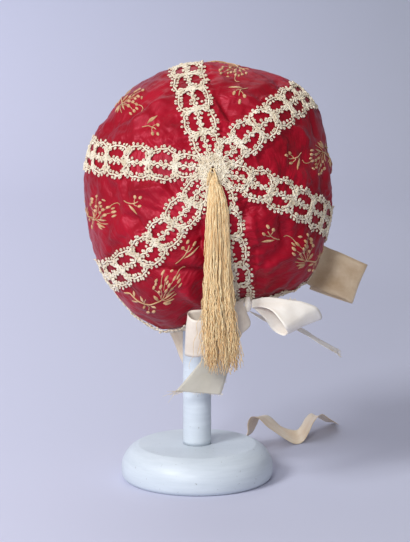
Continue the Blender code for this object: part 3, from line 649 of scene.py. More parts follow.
def waves(points, length, seed, count=7):
    """A smooth random field between about -1 and 1, from a few plane waves of near this length."""
    draw = np.random.default_rng(seed)
    total = np.zeros(points.shape[:-1])
    for _ in range(count):
        heading = unit(draw.normal(size=3))
        pitch = 2 * np.pi / (length * draw.uniform(0.7, 1.4))
        total += np.sin(points @ heading * pitch + draw.uniform(0, 2 * np.pi))
    return total / math.sqrt(2 * count)


# Crown


def crown_axes():
    axis = np.array(
        (
            math.sin(AXIS_TURN) * math.cos(AXIS_TILT),
            -math.cos(AXIS_TURN) * math.cos(AXIS_TILT),
            math.sin(AXIS_TILT),
        )
    )
    level = np.array((math.cos(AXIS_TURN), math.sin(AXIS_TURN), 0.0))
    rising = np.cross(axis, level)
    right = math.cos(CROWN_ROLL) * level + math.sin(CROWN_ROLL) * rising
    up = math.cos(CROWN_ROLL) * rising - math.sin(CROWN_ROLL) * level
    return axis, right, up


AXIS, RIGHT, UP = crown_axes()


def crown_column(column, direction):
    """One column of CROWN_ROWS at directions in radians, on a smooth closed curve through the rows."""
    rows = np.array(CROWN_ROWS, float)
    count = len(rows)
    degrees = np.degrees(direction) % 360
    here = np.searchsorted(rows[:, 0], degrees, side="right") - 1
    index = here[..., None] + np.array((-1, 0, 1, 2))
    at = np.moveaxis(rows[index % count, 0] + 360 * (index // count), -1, 0)
    value = np.moveaxis(rows[index % count, column], -1, 0)
    span = at[2] - at[1]
    slope_in = (value[2] - value[0]) / (at[2] - at[0]) * span
    slope_out = (value[3] - value[1]) / (at[3] - at[1]) * span
    t = (degrees - at[1]) / span
    return (
        (2 * t**3 - 3 * t**2 + 1) * value[1]
        + (t**3 - 2 * t**2 + t) * slope_in
        + (3 * t**2 - 2 * t**3) * value[2]
        + (t**3 - t**2) * slope_out
    )


def rim_angle(direction):
    return np.radians(crown_column(2, direction))


def crown_shape(angle, direction, lift=0.0):
    """Points of the plain crown: angle from the axis, direction about it, and lift."""
    girth = crown_column(1, direction) * MM
    radius = BACK_DEPTH + (girth - BACK_DEPTH) * np.sin(np.minimum(angle, np.pi / 2)) ** BACK_ROUNDNESS
    near_rim = np.clip((angle - rim_angle(direction)) / RIM_DRAW_SPAN + 1, 0.0, 1.0)
    radius = radius * (1 + (crown_column(3, direction) - 1) * near_rim**RIM_ROUNDNESS)
    outward = (
        (np.sin(angle) * np.cos(direction))[..., None] * RIGHT
        + (np.sin(angle) * np.sin(direction))[..., None] * UP
        + np.cos(angle)[..., None] * AXIS
    )
    return CROWN_CENTRE + (radius + lift)[..., None] * outward


def seam_direction(seam, share):
    start, middle, end = (math.radians(value) for value in SEAM_ROWS[seam % GORES])
    return start + (middle - start) * 4 * share * (1 - share) + (end - start) * share * (2 * share - 1)


def gore_directions(gore, share):
    """Directions of the two seams beside a gore, the second below the first."""
    first = seam_direction(gore, share)
    second = seam_direction(gore + 1, share)
    return first, second - 2 * np.pi * np.ceil((second - first) / (2 * np.pi))


def gore_shape(gore, across, along, lift=0.0):
    first, second = gore_directions(gore, along)
    direction = first + (second - first) * across
    return crown_shape(rim_angle(direction) * along, direction, lift)


# Silk


def line_lift(rows, gore, here, sharp):
    """Raised or sunk lines of a table on one gore."""
    lift = np.zeros(here.shape[:-1])
    for number, across_a, along_a, across_b, along_b, height, half_width in rows:
        if number != gore + 1:
            continue
        start = gore_shape(gore, np.array(across_a), np.array(along_a))
        run = gore_shape(gore, np.array(across_b), np.array(along_b)) - start
        t = np.clip((here - start) @ run / (run @ run), 0.0, 1.0)
        apart = gap(here - start, t[..., None] * run) / (half_width * MM)
        peak = FOLD_DEPTH * height * MM
        if sharp:
            apart = apart + 0.22 * waves(here, 14 * MM, number)
            lift += peak * np.exp(-np.abs(apart)) * (0.55 + 0.45 * np.sin(np.pi * t))
        else:
            lift += peak * np.exp(-(apart**2))
    return lift


def clear_of_edges(gore, across, along, here, clear):
    """1 well inside a gore, and 0 near its centre, rim and seams."""
    borders = (
        ("centre", across, along * 0),
        ("rim", across, along * 0 + 1),
        ("seam", across * 0, along),
        ("seam", across * 0 + 1, along),
    )
    window = np.ones(here.shape[:-1])
    for kind, border_across, border_along in borders:
        distance = gap(here, gore_shape(gore, border_across, border_along)) / MM
        window *= smoothstep((distance - clear[kind]) / clear["fade"])
    return window


def pucker_lift(gore, across, along, here):
    """Small puckers across each seam, where the braid's stitches draw the silk in."""
    lift = np.zeros(here.shape[:-1])
    for side in (0.0, 1.0):
        seam = gore_shape(gore, across * 0 + side, along)
        away = gap(here, seam)
        run = gap(seam - CROWN_CENTRE, BACK_DEPTH * AXIS) * 1.25
        bend = 0.35 * waves(here, 30 * MM, 20 + gore)
        ridge = np.sin(2 * np.pi * (run / PUCKER_LENGTH + bend + side / 3))
        size = 0.6 + 0.4 * waves(here, 40 * MM, 40 + gore)
        lift += PUCKER_HEIGHT * size * ridge * np.exp(-(((away - 9 * MM) / PUCKER_REACH) ** 2))
    return lift


def silk_start(gore, rows, columns):
    """A gore's silk on a grid, with its broad folds."""
    along = np.linspace(SILK_TIP, 1.0, rows)[:, None] + np.zeros(columns)
    across = np.linspace(0.0, 1.0, columns) + np.zeros((rows, 1))
    here = gore_shape(gore, across, along)
    lift = line_lift(FOLD_ROWS, gore, here, False)
    lift *= clear_of_edges(gore, across, along, here, FOLD_CLEAR)
    return across, along, here, lift


def settle(starts, pinned):
    """Lets silk that is a little too large for its place crease between its pinned edges."""
    points = np.concatenate([start.reshape(-1, 3) for start in starts])
    size = SIM_ROWS * SIM_COLUMNS
    faces = np.concatenate([grid_faces(SIM_ROWS, SIM_COLUMNS, k * size) for k in range(GORES)])
    sheet = mesh_of("silk_sim", (points - CROWN_CENTRE) * SIM_SCALE, [faces], bpy.data.materials.new("sim"))
    group = sheet.vertex_groups.new(name="pinned")
    weights = np.concatenate([weight.ravel() for weight in pinned])
    for level in range(1, PIN_LEVELS + 1):
        chosen = np.flatnonzero(np.round(weights * PIN_LEVELS) == level)
        group.add(chosen.tolist(), level / PIN_LEVELS, "REPLACE")
    cloth = sheet.modifiers.new("cloth", "CLOTH")
    for setting, value in SIM_SETTINGS.items():
        setattr(cloth.settings, setting, value)
    cloth.settings.effector_weights.gravity = 0.0
    cloth.collision_settings.use_collision = False
    cloth.point_cache.frame_end = SIM_FRAMES
    scene = bpy.context.scene
    for step in range(1, SIM_FRAMES + 1):
        scene.frame_set(step)
    evaluated = sheet.evaluated_get(bpy.context.evaluated_depsgraph_get())
    moved = np.empty(len(points) * 3, np.float32)
    evaluated.data.vertices.foreach_get("co", moved)
    moved = moved.reshape(-1, 3) / SIM_SCALE + CROWN_CENTRE - points
    scene.frame_set(1)
    bpy.data.objects.remove(sheet)
    far = np.linalg.norm(moved, axis=-1, keepdims=True)
    moved *= np.minimum(1.0, SIM_CAP / np.maximum(far, 1e-9))
    return moved.reshape(GORES, SIM_ROWS, SIM_COLUMNS, 3)


def cubic_weights(fine, coarse):
    """A matrix that reads a line of coarse values at this many even spots on a smooth curve."""
    at = np.linspace(0, coarse - 1, fine)
    base = np.minimum(at.astype(int), coarse - 2)
    t = at - base
    curve = (
        (-t + 2 * t**2 - t**3) / 2,
        (2 - 5 * t**2 + 3 * t**3) / 2,
        (t + 4 * t**2 - 3 * t**3) / 2,
        (t**3 - t**2) / 2,
    )
    weights = np.zeros((fine, coarse))
    for k, share in enumerate(curve):
        np.add.at(weights, (np.arange(fine), np.clip(base + k - 1, 0, coarse - 1)), share)
    return weights


def crumples(gore, here):
    """Ridges with sharp crests and round hollows, as in old taffeta."""
    lift = np.zeros(here.shape[:-1])
    for number, (length, height) in enumerate(CRUMPLE_SIZES):
        field = waves(here, length * MM, 60 + 10 * gore + number)
        ridge = 0.45 - np.minimum(np.abs(field), 1.2)
        lift += height * MM * ridge * (1 if number % 2 else -1)
    return lift


def wrinkles(gore, across, along, here):
    """Long narrow wrinkles that run across the gore, each set fading in and out, fewer at the sides."""
    middle = gore_shape(gore, across * 0 + 0.5, along)
    sideways = gap(here, middle) * np.sign(across - 0.5)
    outward = gap(middle - CROWN_CENTRE, BACK_DEPTH * AXIS)
    lift = np.zeros(here.shape[:-1])
    for number, (length, stretch, heading, height) in enumerate(WRINKLE_SIZES):
        turn = math.radians(heading + 17 * math.sin(2.4 * gore + number))
        run = (sideways * math.cos(turn) + outward * math.sin(turn)) / stretch
        rise = outward * math.cos(turn) - sideways * math.sin(turn)
        plane = np.stack([run, rise, np.full(run.shape, 0.1 * gore)], -1)
        field = waves(plane, length * MM, 300 + 10 * gore + number) + 0.3 * waves(here, 18 * MM, number)
        share = smoothstep(0.5 + 0.8 * waves(here, 45 * MM, 400 + 10 * gore + number))
        lift += height * MM * share * (0.5 - np.minimum(np.abs(field), 1.2))
    return lift * (1 - 0.65 * smoothstep((along - 0.42) / 0.25))


def without_swelling(moved):
    """Simulated moves less their own broad average, which leaves the creases alone."""
    broad = moved
    span = 2 * SMOOTH_HALF + 1
    for axis in (1, 2):
        count = moved.shape[axis]
        for _ in range(SMOOTH_ROUNDS):
            first, last = (broad.take([end] * SMOOTH_HALF, axis) for end in (0, -1))
            padded = np.concatenate([first, broad, last], axis)
            broad = sum(padded.take(range(k, k + count), axis) for k in range(span)) / span
    return moved - broad


def silk_surface():
    """Grids of points and normals of the finished silk, one for each gore."""
    moved = np.zeros((GORES, SILK_ROWS, SILK_COLUMNS, 3))
    starts, pinned = [], []
    for gore in range(GORES):
        across, along, here, lift = silk_start(gore, SIM_ROWS, SIM_COLUMNS)
        starts.append(gore_shape(gore, across, along, lift))
        pinned.append(1 - clear_of_edges(gore, across, along, here, CREASE_CLEAR))
    coarse = without_swelling(settle(starts, pinned))
    rows, columns = cubic_weights(SILK_ROWS, SIM_ROWS), cubic_weights(SILK_COLUMNS, SIM_COLUMNS)
    moved = np.einsum("ri,cj,gijk->grck", rows, columns, coarse)
    points, normals = [], []
    for gore in range(GORES):
        across, along, here, lift = silk_start(gore, SILK_ROWS, SILK_COLUMNS)
        window = clear_of_edges(gore, across, along, here, CREASE_CLEAR)
        lift = lift + line_lift(CREASE_ROWS, gore, here, True) * window
        middle = smoothstep(gap(here, gore_shape(gore, across, along * 0)) / (24 * MM))
        lift += pucker_lift(gore, across, along, here) * middle
        lift += (crumples(gore, here) + wrinkles(gore, across, along, here)) * window
        surface = gore_shape(gore, across, along, lift) + moved[gore] * window[..., None]
        normal = unit(np.cross(np.gradient(surface, axis=1), np.gradient(surface, axis=0)))
        outward = np.sign(np.sum(normal * (surface - CROWN_CENTRE), axis=-1, keepdims=True))
        points.append(surface)
        normals.append(normal * outward)
    return np.array(points), np.array(normals)


SILK, SILK_NORMALS = silk_surface()


def on_silk(gore, across, along, lift):
    """Points raised off the finished silk, and the silk's normals there."""
    row = np.clip((along - SILK_TIP) / (1 - SILK_TIP), 0, 1) * (SILK_ROWS - 1)
    column = np.clip(across, 0, 1) * (SILK_COLUMNS - 1)
    i = np.minimum(row.astype(int), SILK_ROWS - 2)
    j = np.minimum(column.astype(int), SILK_COLUMNS - 2)
    s, t = (row - i)[..., None], (column - j)[..., None]

    def read(grid):
        near = grid[gore, i, j] * (1 - t) + grid[gore, i, j + 1] * t
        far = grid[gore, i + 1, j] * (1 - t) + grid[gore, i + 1, j + 1] * t
        return near * (1 - s) + far * s

    normal = unit(read(SILK_NORMALS))
    return read(SILK) + np.asarray(lift)[..., None] * normal, normal


def on_crown(direction, share, lift):
    """The same for a direction about the axis and a share of the way to the rim."""
    gore = np.zeros(direction.shape, int)
    across = np.zeros(direction.shape)
    for k in range(GORES):
        first, second = gore_directions(k, share)
        turned = (first - direction) % (2 * np.pi)
        inside = turned <= first - second
        gore[inside] = k
        across[inside] = (turned / (first - second))[inside]
    return on_silk(gore, across, share, lift)


# Materials

WHITE = (1.0, 1.0, 1.0)
MIX_COLOURS = (6, 7)  # the two colour inputs of a Mix node, and its colour output
MIX_RESULT = 2


class Look:
    """A Principled material and the nodes that feed it."""

    def __init__(self, name, colour, roughness, **sockets):
        self.material = bpy.data.materials.new(name)
        self.material.use_nodes = True
        self.nodes, self.links = self.material.node_tree.nodes, self.material.node_tree.links
        self.shader = self.nodes["Principled BSDF"]
        self.set(self.shader, Base_Color=(*colour, 1.0), Roughness=roughness, **sockets)

    def set(self, made, **values):
        """Sets inputs, by name with underscores for spaces, or else settings."""
        for name, value in values.items():
            socket = made.inputs.get(name.replace("_", " "))
            if socket is None:
                setattr(made, name, value)
            else:
                socket.default_value = value

    def node(self, kind, sources=(), **values):
        """A node with its inputs and settings; sources pairs an input with what feeds it."""
        made = self.nodes.new(f"ShaderNode{kind}")
        self.set(made, **values)
        for socket, source in sources:
            self.links.new(source, made.inputs[socket])
        return made

    def texture(self, kind, scale, flat=False, **values):
        """A texture at this scale of space or, where flat, of the sheet's own plane in metres."""
        if flat:
            place = self.node("UVMap", uv_map="cloth").outputs["UV"]
        else:
            place = self.node("TexCoord").outputs["Object"]
        mapping = self.node("Mapping", [("Vector", place)], Scale=scale)
        return self.node(kind, [("Vector", mapping.outputs["Vector"])], Scale=1.0, **values).outputs["Fac"]

    def ramp(self, source, low, high, colours):
        """A colour between two, by where a value lies between low and high."""
        made = self.node("ValToRGB", [("Fac", source)])
        for element, position, colour in zip(made.color_ramp.elements, (low, high), colours):
            element.position = position
            element.color = (*colour, 1.0)
        return made.outputs["Color"]

    def multiplied(self, first, second, share):
        sources = zip(MIX_COLOURS, (first, second))
        made = self.node("Mix", sources, data_type="RGBA", blend_type="MULTIPLY", Factor=share)
        return made.outputs[MIX_RESULT]

    def bump(self, height, strength, distance, after=None):
        sources = [("Height", height)] + ([] if after is None else [("Normal", after)])
        return self.node("Bump", sources, Strength=strength, Distance=distance).outputs["Normal"]

    def fed(self, **sources):
        """The material, with what feeds each input of its shader."""
        for name, source in sources.items():
            self.links.new(source, self.shader.inputs[name.replace("_", " ")])
        return self.material


def silk_material():
    """Red taffeta: fine ribs across the gore, slubs, faded and darker patches, fine creases."""
    look = Look(
        "red_taffeta",
        colour=(0.42, 0.010, 0.028),
        roughness=0.40,
        Sheen_Weight=0.04,
        Sheen_Roughness=0.35,
        Sheen_Tint=(1.0, 0.40, 0.50, 1.0),
        Specular_Tint=(1.0, 0.24, 0.34, 1.0),
        Specular_IOR_Level=0.5,
    )
    patches = look.texture("TexNoise", (26, 26, 26), Detail=4.0, Roughness=0.6)
    slubs = look.texture("TexNoise", (60, 1400, 1), flat=True, Detail=2.0, Roughness=0.5)
    creases = look.texture("TexNoise", (45, 100, 1), flat=True, Detail=3.0, Roughness=0.5, Distortion=1.2)
    body = look.ramp(patches, 0.3, 0.72, ((0.21, 0.002, 0.008), (0.41, 0.005, 0.021)))
    thread = look.ramp(slubs, 0.35, 0.7, ((0.82, 0.76, 0.78), WHITE))
    shine = look.ramp(slubs, 0.3, 0.7, ((0.48, 0.48, 0.48), (0.36, 0.36, 0.36)))
    relief = look.bump(slubs, 0.35, 0.0002, look.bump(creases, 0.6, 0.0022))
    return look.fed(Base_Color=look.multiplied(body, thread, 0.8), Normal=relief, Roughness=shine)


def thread_material(name, colours, roughness, twist, sheen, grain):
    """Cotton or silk thread: fine twisted plies, and slightly uneven colour."""
    look = Look(
        name,
        colours[1],
        roughness,
        Sheen_Weight=sheen,
        Subsurface_Weight=0.08,
        Subsurface_Radius=(0.004, 0.003, 0.002),
        Subsurface_Scale=0.3,
    )
    patches = look.texture("TexNoise", grain, Detail=3.0)
    plies = look.texture("TexWave", (twist,) * 3, Distortion=2.0, Detail=1.0, bands_direction="DIAGONAL")
    body = look.ramp(patches, 0.32, 0.68, colours)
    return look.fed(Base_Color=body, Normal=look.bump(plies, 0.6, 0.00025))


def ribbon_material(name, colours, alpha=1.0):
    """Aged silk ribbon: fine cross ribs and soft creases, and a thin one shows what is behind it."""
    look = Look(name, colours[1], 0.42, Sheen_Weight=0.2, Specular_IOR_Level=0.45, Alpha=alpha)
    stains = look.texture("TexNoise", (45, 30, 1), flat=True, Detail=4.0, Roughness=0.6)
    creases = look.texture("TexNoise", (70, 260, 1), flat=True, Detail=2.0)
    ribs = look.texture("TexWave", (160, 420, 1), True, Distortion=0.3, Detail=1.0, bands_direction="Y")
    body = look.ramp(stains, 0.3, 0.7, colours)
    shade = look.ramp(ribs, 0.0, 1.0, ((0.90, 0.88, 0.86), WHITE))
    relief = look.bump(ribs, 0.3, 0.0001, look.bump(creases, 0.35, 0.0008))
    return look.fed(Base_Color=look.multiplied(body, shade, 0.7), Normal=relief)


def paint_material():
    """Pale blue-grey paint on turned wood: faint brush rings, small chips and grime."""
    look = Look("pale_paint", (0.62, 0.68, 0.74), 0.42, Specular_IOR_Level=0.45)
    brushed = look.texture("TexNoise", (25, 25, 260), Detail=4.0, Roughness=0.65)
    specks = look.texture("TexNoise", (420, 420, 420), Detail=2.0)
    body = look.ramp(brushed, 0.3, 0.7, ((0.53, 0.59, 0.65), (0.61, 0.67, 0.73)))
    grime = look.ramp(specks, 0.24, 0.3, ((0.55, 0.53, 0.50), WHITE))
    return look.fed(Base_Color=look.multiplied(body, grime, 0.8), Normal=look.bump(brushed, 0.25, 0.0006))


def backdrop_material():
    """A pale backdrop with painted light, lighter on the left and low down."""
    look = Look("pale_backdrop", (0.55, 0.57, 0.75), 0.9)
    place = look.node("TexCoord").outputs["Object"]
    split = look.node("SeparateXYZ", [("Vector", place)])
    across = look.node("MapRange", [("Value", split.outputs["X"])], From_Min=-0.35, From_Max=0.35)
    rise = look.node("MapRange", [("Value", split.outputs["Z"])], From_Max=0.3)
    # painted light and shade: darker from left to right, and dimmer higher up
    colour = look.ramp(across.outputs["Result"], 0.0, 1.0, ((0.66, 0.67, 0.84), (0.44, 0.455, 0.55)))
    painted_dimming = look.ramp(rise.outputs["Result"], 0.0, 1.0, (WHITE, (0.81, 0.83, 0.85)))
    return look.fed(Base_Color=look.multiplied(colour, painted_dimming, 1.0))


# Pieces


def finish_piece(piece, slot, *nodes):
    """Rides the piece on the body and lets it stand for its nodes, which it hides; the slot is not used."""
    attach(piece, BODY)
    if nodes:
        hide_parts(*nodes)
    return piece


def add_piece(name, parts, finish, slot, *nodes):
    """One piece out of several parts."""
    points, faces = joined(parts)
    return finish_piece(mesh_of(name, points, faces, finish), slot, *nodes)


def add_cloth(node_name, kind, top, under, finish, slot, u, v):
    """A sheet between two surfaces, with its own plane in metres for its textures."""
    points, faces = wall_of(top, under)
    uv = np.stack([u, v], -1)
    piece = mesh_of(f"{node_name}_{kind}", points, faces, finish, np.concatenate([uv, uv]))
    return finish_piece(piece, slot, node_name)


def build_turned(name, profile, finish):
    """A turned part from rows of radius and height in mm."""
    profile = np.array(profile) * MM
    turn = 2 * np.pi * np.arange(STAND_SIDES) / STAND_SIDES
    ring = np.stack([np.cos(turn), np.sin(turn), np.zeros(STAND_SIDES)], -1)
    points = profile[:, 0, None, None] * ring + profile[:, 1, None, None] * np.array((0, 0, 1.0))
    piece = mesh_of(f"{name}_painted", points, capped_faces(len(profile), STAND_SIDES), finish)
    finish_piece(piece, "painted_wood", name)


def build_stand(paint):
    rim = np.array(BASE_PROFILE[1:], float)
    rim = cubic_weights((len(rim) - 1) * BASE_STEPS + 1, len(rim)) @ rim
    base = [(TURNED_TIP, 0.0), BASE_PROFILE[0], *rim, (TURNED_TIP, BASE_TOP)]
    build_turned("stand_base", base, paint)
    low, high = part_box("stand_post")
    bottom, top = low.z / MM, high.z / MM
    post = [(TURNED_TIP, bottom)]
    for k in range(POST_STEPS + 1):
        radius = POST_RADIUS + 0.05 * math.sin(k * 1.7) + 0.04 * math.sin(k * 0.6)
        post.append((radius, bottom + (top - bottom) * k / POST_STEPS))
    build_turned("stand_post", [*post, (TURNED_TIP, top)], paint)
    lowest = math.asin((HEAD_UNDERSIDE_Z - HEAD_CENTRE_Z) / HEAD_RADIUS)
    dome = [(TURNED_TIP, HEAD_UNDERSIDE_Z)]
    for angle in np.linspace(lowest, HEAD_HIGHEST, HEAD_STEPS):
        across = HEAD_RADIUS * math.cos(angle) * HEAD_SHARE
        dome.append((across, HEAD_CENTRE_Z + HEAD_RADIUS * math.sin(angle) * HEAD_SHARE))
    build_turned("stand_head", dome, paint)


def build_silk(silk):
    for gore in range(GORES):
        points, normals = SILK[gore], SILK_NORMALS[gore]
        down = gap(points[1:], points[:-1]).mean(axis=1).cumsum()
        down = np.concatenate(([0.0], down))
        wide = gap(points[:, 1:], points[:, :-1]).sum(axis=1)
        u = np.linspace(-0.5, 0.5, SILK_COLUMNS)[None, :] * wide[:, None] + gore * SILK_UV_SHIFT
        v = down[:, None] + np.zeros(SILK_COLUMNS)
        under = points - SILK_WALL * normals
        piece = add_cloth(f"crown_gore_{gore + 1}", "silk", points, under, silk, "red_silk", u, v)


def seam_lengths(seam):
    shares = np.linspace(0.0, 1.0, SEAM_STEPS)
    direction = seam_direction(seam, shares)
    return run_along(crown_shape(rim_angle(direction) * shares, direction)), shares


def braid_spot(seam, lengths, shares, distance, offset, lift):
    """Points beside a seam at distances from the centre, with the taper near the centre."""
    taper = np.minimum(1.0, BRAID_TAPER_FROM + (1 - BRAID_TAPER_FROM) * distance / BRAID_TAPER_END)
    share = np.interp(distance, lengths, shares)
    direction = seam_direction(seam, share)
    angle = rim_angle(direction) * share
    radius = gap(crown_shape(angle, direction), CROWN_CENTRE)
    direction = direction + offset * taper / (radius * np.maximum(np.sin(angle), 0.02))
    return on_crown(direction, share, lift)


def frames(line, normal, loop=False):
    """Forward, sideways and outward directions along a line on the silk."""
    if loop:
        forward = unit(np.roll(line, -1, axis=-2) - np.roll(line, 1, axis=-2))
    else:
        forward = unit(np.gradient(line, axis=-2))
    side = unit(np.cross(normal, forward))
    return forward, side, unit(np.cross(forward, side))


def cord_part(line, normal, loop=False, thin=1.0):
    """A knobbly cord along a line."""
    _, side, out = frames(line, normal, loop)
    run = run_along(line)
    knots = np.abs(np.sin(np.pi * run / CORD_KNOT + RANDOM.uniform(0, 3)))
    radius = CORD_RADIUS * thin * (0.72 + 0.42 * knots + RANDOM.normal(0, 0.03, len(run)))
    return tube(line, side, out, radius, THREAD_SIDES + 1, 0.85, loop)


def even_steps(line, normal, step):
    """Spots at even distances along a line, with its frame there."""
    run = run_along(line)
    at = np.arange(step * RANDOM.uniform(0.3, 0.7), run[-1], step)
    at = at + RANDOM.normal(0, 0.06, len(at)) * step

    def read(values):
        return np.stack([np.interp(at, run, values[:, k]) for k in range(3)], -1)

    return [read(values) for values in (line, *frames(line, normal))]


def rings_part(centres, forward, side, out, tall=1.15, large=1.0):
    """Small thread rings lying on the silk."""
    count = len(centres)
    turn = 2 * np.pi * np.arange(RING_STEPS) / RING_STEPS
    size = large * PICOT_RADIUS * RANDOM.uniform(0.82, 1.15, count)
    long = tall * RANDOM.uniform(0.9, 1.2, count)
    lean = RANDOM.normal(0, 0.28, count)
    along = unit(np.cos(lean)[:, None] * side + np.sin(lean)[:, None] * forward)
    other = unit(np.cross(out, along))
    tip = RANDOM.normal(0.06, 0.16, count)
    along = unit(along + tip[:, None] * out)
    line = centres[:, None, :] + size[:, None, None] * (
        (np.cos(turn) * long[:, None])[..., None] * along[:, None, :]
        + np.sin(turn)[None, :, None] * other[:, None, :]
    )
    outward = unit(line - centres[:, None, :])
    upward = np.broadcast_to(unit(np.cross(along, other))[:, None, :], outward.shape)
    thread = (PICOT_THREAD * RANDOM.uniform(0.85, 1.15, count))[:, None] * np.ones(RING_STEPS)
    return tubes(line, outward, upward, thread, thread * 0.95, THREAD_SIDES, loop=True)


def picots(line, normal, sides):
    """Rings that stand out from a cord, on the sides given in turn."""
    spots, forward, side, out = even_steps(line, normal, PICOT_SPACING)
    count = len(spots)
    sign = np.array(sides, float)[np.arange(count) % len(sides)]
    away = PICOT_REACH * RANDOM.uniform(0.88, 1.15, count)
    raised = RANDOM.uniform(-0.1, 0.35, count)[:, None] * MM * out
    return rings_part(spots + (sign * away)[:, None] * side + raised, forward, side * sign[:, None], out)


def crowd_part(line, normal, **size):
    """Rings at these spots that point any way."""
    side = unit(np.cross(normal, RANDOM.normal(size=line.shape)))
    return rings_part(line, unit(np.cross(side, normal)), side, normal, **size)


def node_rings(spot, middle):
    """The crowd of small rings that fills a waist of the braid."""
    count = BRAID_NODE_RINGS
    offset = np.linspace(-1, 1, count) * (BRAID_WAIST + 1.5 * MM) + RANDOM.normal(0, 0.5 * MM, count)
    along = middle + RANDOM.normal(0, 1.9 * MM, count)
    return crowd_part(*spot(along, offset, CORD_LIFT + RANDOM.uniform(0.2, 1.2, count) * MM))


def build_braid_arm(seam, thread):
    """Three cords, a pair of bars and a crowd of rings at each waist, and picots on them all."""
    lengths, shares = seam_lengths(seam)
    start, end = BRAID_START, lengths[-1] - BRAID_RIM_MARGIN
    repeats = round((end - start) / BRAID_PERIOD)
    waists = np.linspace(start, end, repeats + 1)
    waists[1:-1] += RANDOM.normal(0, 0.8 * MM, repeats - 1)

    def spot(distance, offset, lift):
        return braid_spot(seam, lengths, shares, distance, offset, lift)

    parts = []
    distance = np.arange(start - 4.5 * MM, end + 3.5 * MM, CORD_STEP)
    numbers = np.arange(repeats + 1)
    phase = np.interp(distance, waists, numbers)
    arch = np.abs(np.sin(np.pi * phase)) ** BRAID_ROUNDNESS
    for side in (1, -1, 0):
        swell = BRAID_SWELL * (1 + np.interp(phase, numbers, RANDOM.normal(0, 0.04, repeats + 1)))
        offset = side * (BRAID_WAIST + (swell - BRAID_WAIST) * arch)
        drift = np.sin(distance / MM * 0.9 + seam * 2 + side * 1.3)
        offset = offset + (0.9 if side == 0 else 0.35) * MM * drift
        line, normal = spot(distance, offset, CORD_LIFT + 0 * distance)
        parts += [cord_part(line, normal), picots(line, normal, (1,)), picots(line, normal, (-1,))]
    bar = np.linspace(-BRAID_WAIST - 0.5 * MM, BRAID_WAIST + 0.5 * MM, BAR_STEPS)
    for k, waist in enumerate(waists):
        for lean in (1, -1):
            bow = lean * (0.8 + 2.0 * (bar / BRAID_WAIST) ** 2) * MM
            middle = waist + bow + 0.4 * MM * np.sin(bar / MM * 1.5 + k)
            line, normal = spot(middle, bar, CORD_LIFT + 0.3 * MM + 0 * bar)
            parts += [cord_part(line, normal), picots(line, normal, (lean,))]
        parts.append(node_rings(spot, waist))
    name = f"braid_arm_{seam + 1}"
    add_piece(f"{name}_picots", parts, thread, "cream_braid", name)


def build_braid_centre(thread):
    """The crowded middle of the braid: a looping cord and rings lying over each other."""
    turn = np.linspace(0, 2 * np.pi * CENTRE_TURNS, CENTRE_STEPS)
    reach = (0.55 + 0.33 * np.sin(turn * 8 / CENTRE_TURNS)) * CENTRE_RADIUS
    lift = (1.5 + 0.5 * np.sin(turn * 5)) * MM
    parts = [cord_part(*on_crown(turn, reach / BACK_DEPTH / rim_angle(turn), lift))]
    count = CENTRE_RINGS
    direction = np.arange(count) * GOLDEN_TURN
    reach = np.sqrt((np.arange(count) + 0.5) / count) * (CENTRE_RADIUS + 3 * MM)
    lift = RANDOM.uniform(0.8, 2.9, count) * MM
    spots = on_crown(direction, reach / BACK_DEPTH / rim_angle(direction), lift)
    parts.append(crowd_part(*spots, large=CENTRE_LARGE))
    add_piece("braid_centre_picots", parts, thread, "cream_braid", "braid_centre")


def build_edge_braid(thread):
    """Three cords with picots round the whole rim."""
    parts = []
    direction = np.linspace(0, 2 * np.pi, EDGE_STEPS, endpoint=False)
    rim = rim_angle(direction)
    radius = gap(crown_shape(rim, direction), CROWN_CENTRE)
    turned = np.exp(-(((direction - EDGE_TURNED_MIDDLE) / EDGE_TURNED_HALF) ** 2))
    drawn = np.array(EDGE_DRAWN_IN, float)
    drawn_in = np.interp(np.degrees(direction), drawn[:, 0], drawn[:, 1]) * MM
    for number, (inset, swing, turned_up, sides) in enumerate(EDGE_CORDS):
        away = inset * MM + drawn_in + swing * MM * np.sin(direction * EDGE_SWINGS + number * 1.6)
        line, normal = on_crown(direction, 1 - away / radius / rim, CORD_LIFT + turned_up * MM * turned)
        parts += [cord_part(line, normal, loop=True, thin=0.92), picots(line, normal, sides)]
    add_piece("edge_braid_picots", parts, thread, "cream_braid", "edge_braid")


# Embroidery


class Place:
    """Where a motif lies on a gore: turns its own millimetres into shares of the gore."""

    def __init__(self, gore, across, along, turn, mirrored, stretch, outward):
        self.gore, self.across, self.along = gore - 1, across, along
        self.angle = outward + math.radians(turn)
        self.flip = -1.0 if mirrored else 1.0
        self.stretch = stretch
        even, still = np.linspace(0, 1, 30), np.ones(30)
        row = gore_shape(self.gore, even, along * still)
        self.width = gap(row[1:], row[:-1]).sum()
        row = gore_shape(self.gore, across * still, even)
        self.length = gap(row[1:], row[:-1]).sum()

    def put(self, x, y, lift):
        outward = x * math.cos(self.angle) + y * math.sin(self.angle)
        sideways = (x * math.sin(self.angle) - y * math.cos(self.angle)) * self.flip
        across = self.across + sideways * MM / self.width
        along = self.along + outward * self.stretch * MM / self.length
        return on_silk(np.full(np.shape(across), self.gore), across, along, lift)


def stem_part(place, points, radius):
    points = np.array(points, float)
    line = cubic_weights(STEM_STEPS * len(points), len(points)) @ points
    spots, normal = place.put(line[:, 0], line[:, 1], np.full(len(line), radius * 0.5 * MM))
    _, side, out = frames(spots, normal)
    from_end = np.minimum(np.arange(len(line)), np.arange(len(line))[::-1])
    return tube(spots, side, out, radius * MM * np.minimum(1.0, 0.45 + from_end / 5), STEM_SIDES, 0.8)


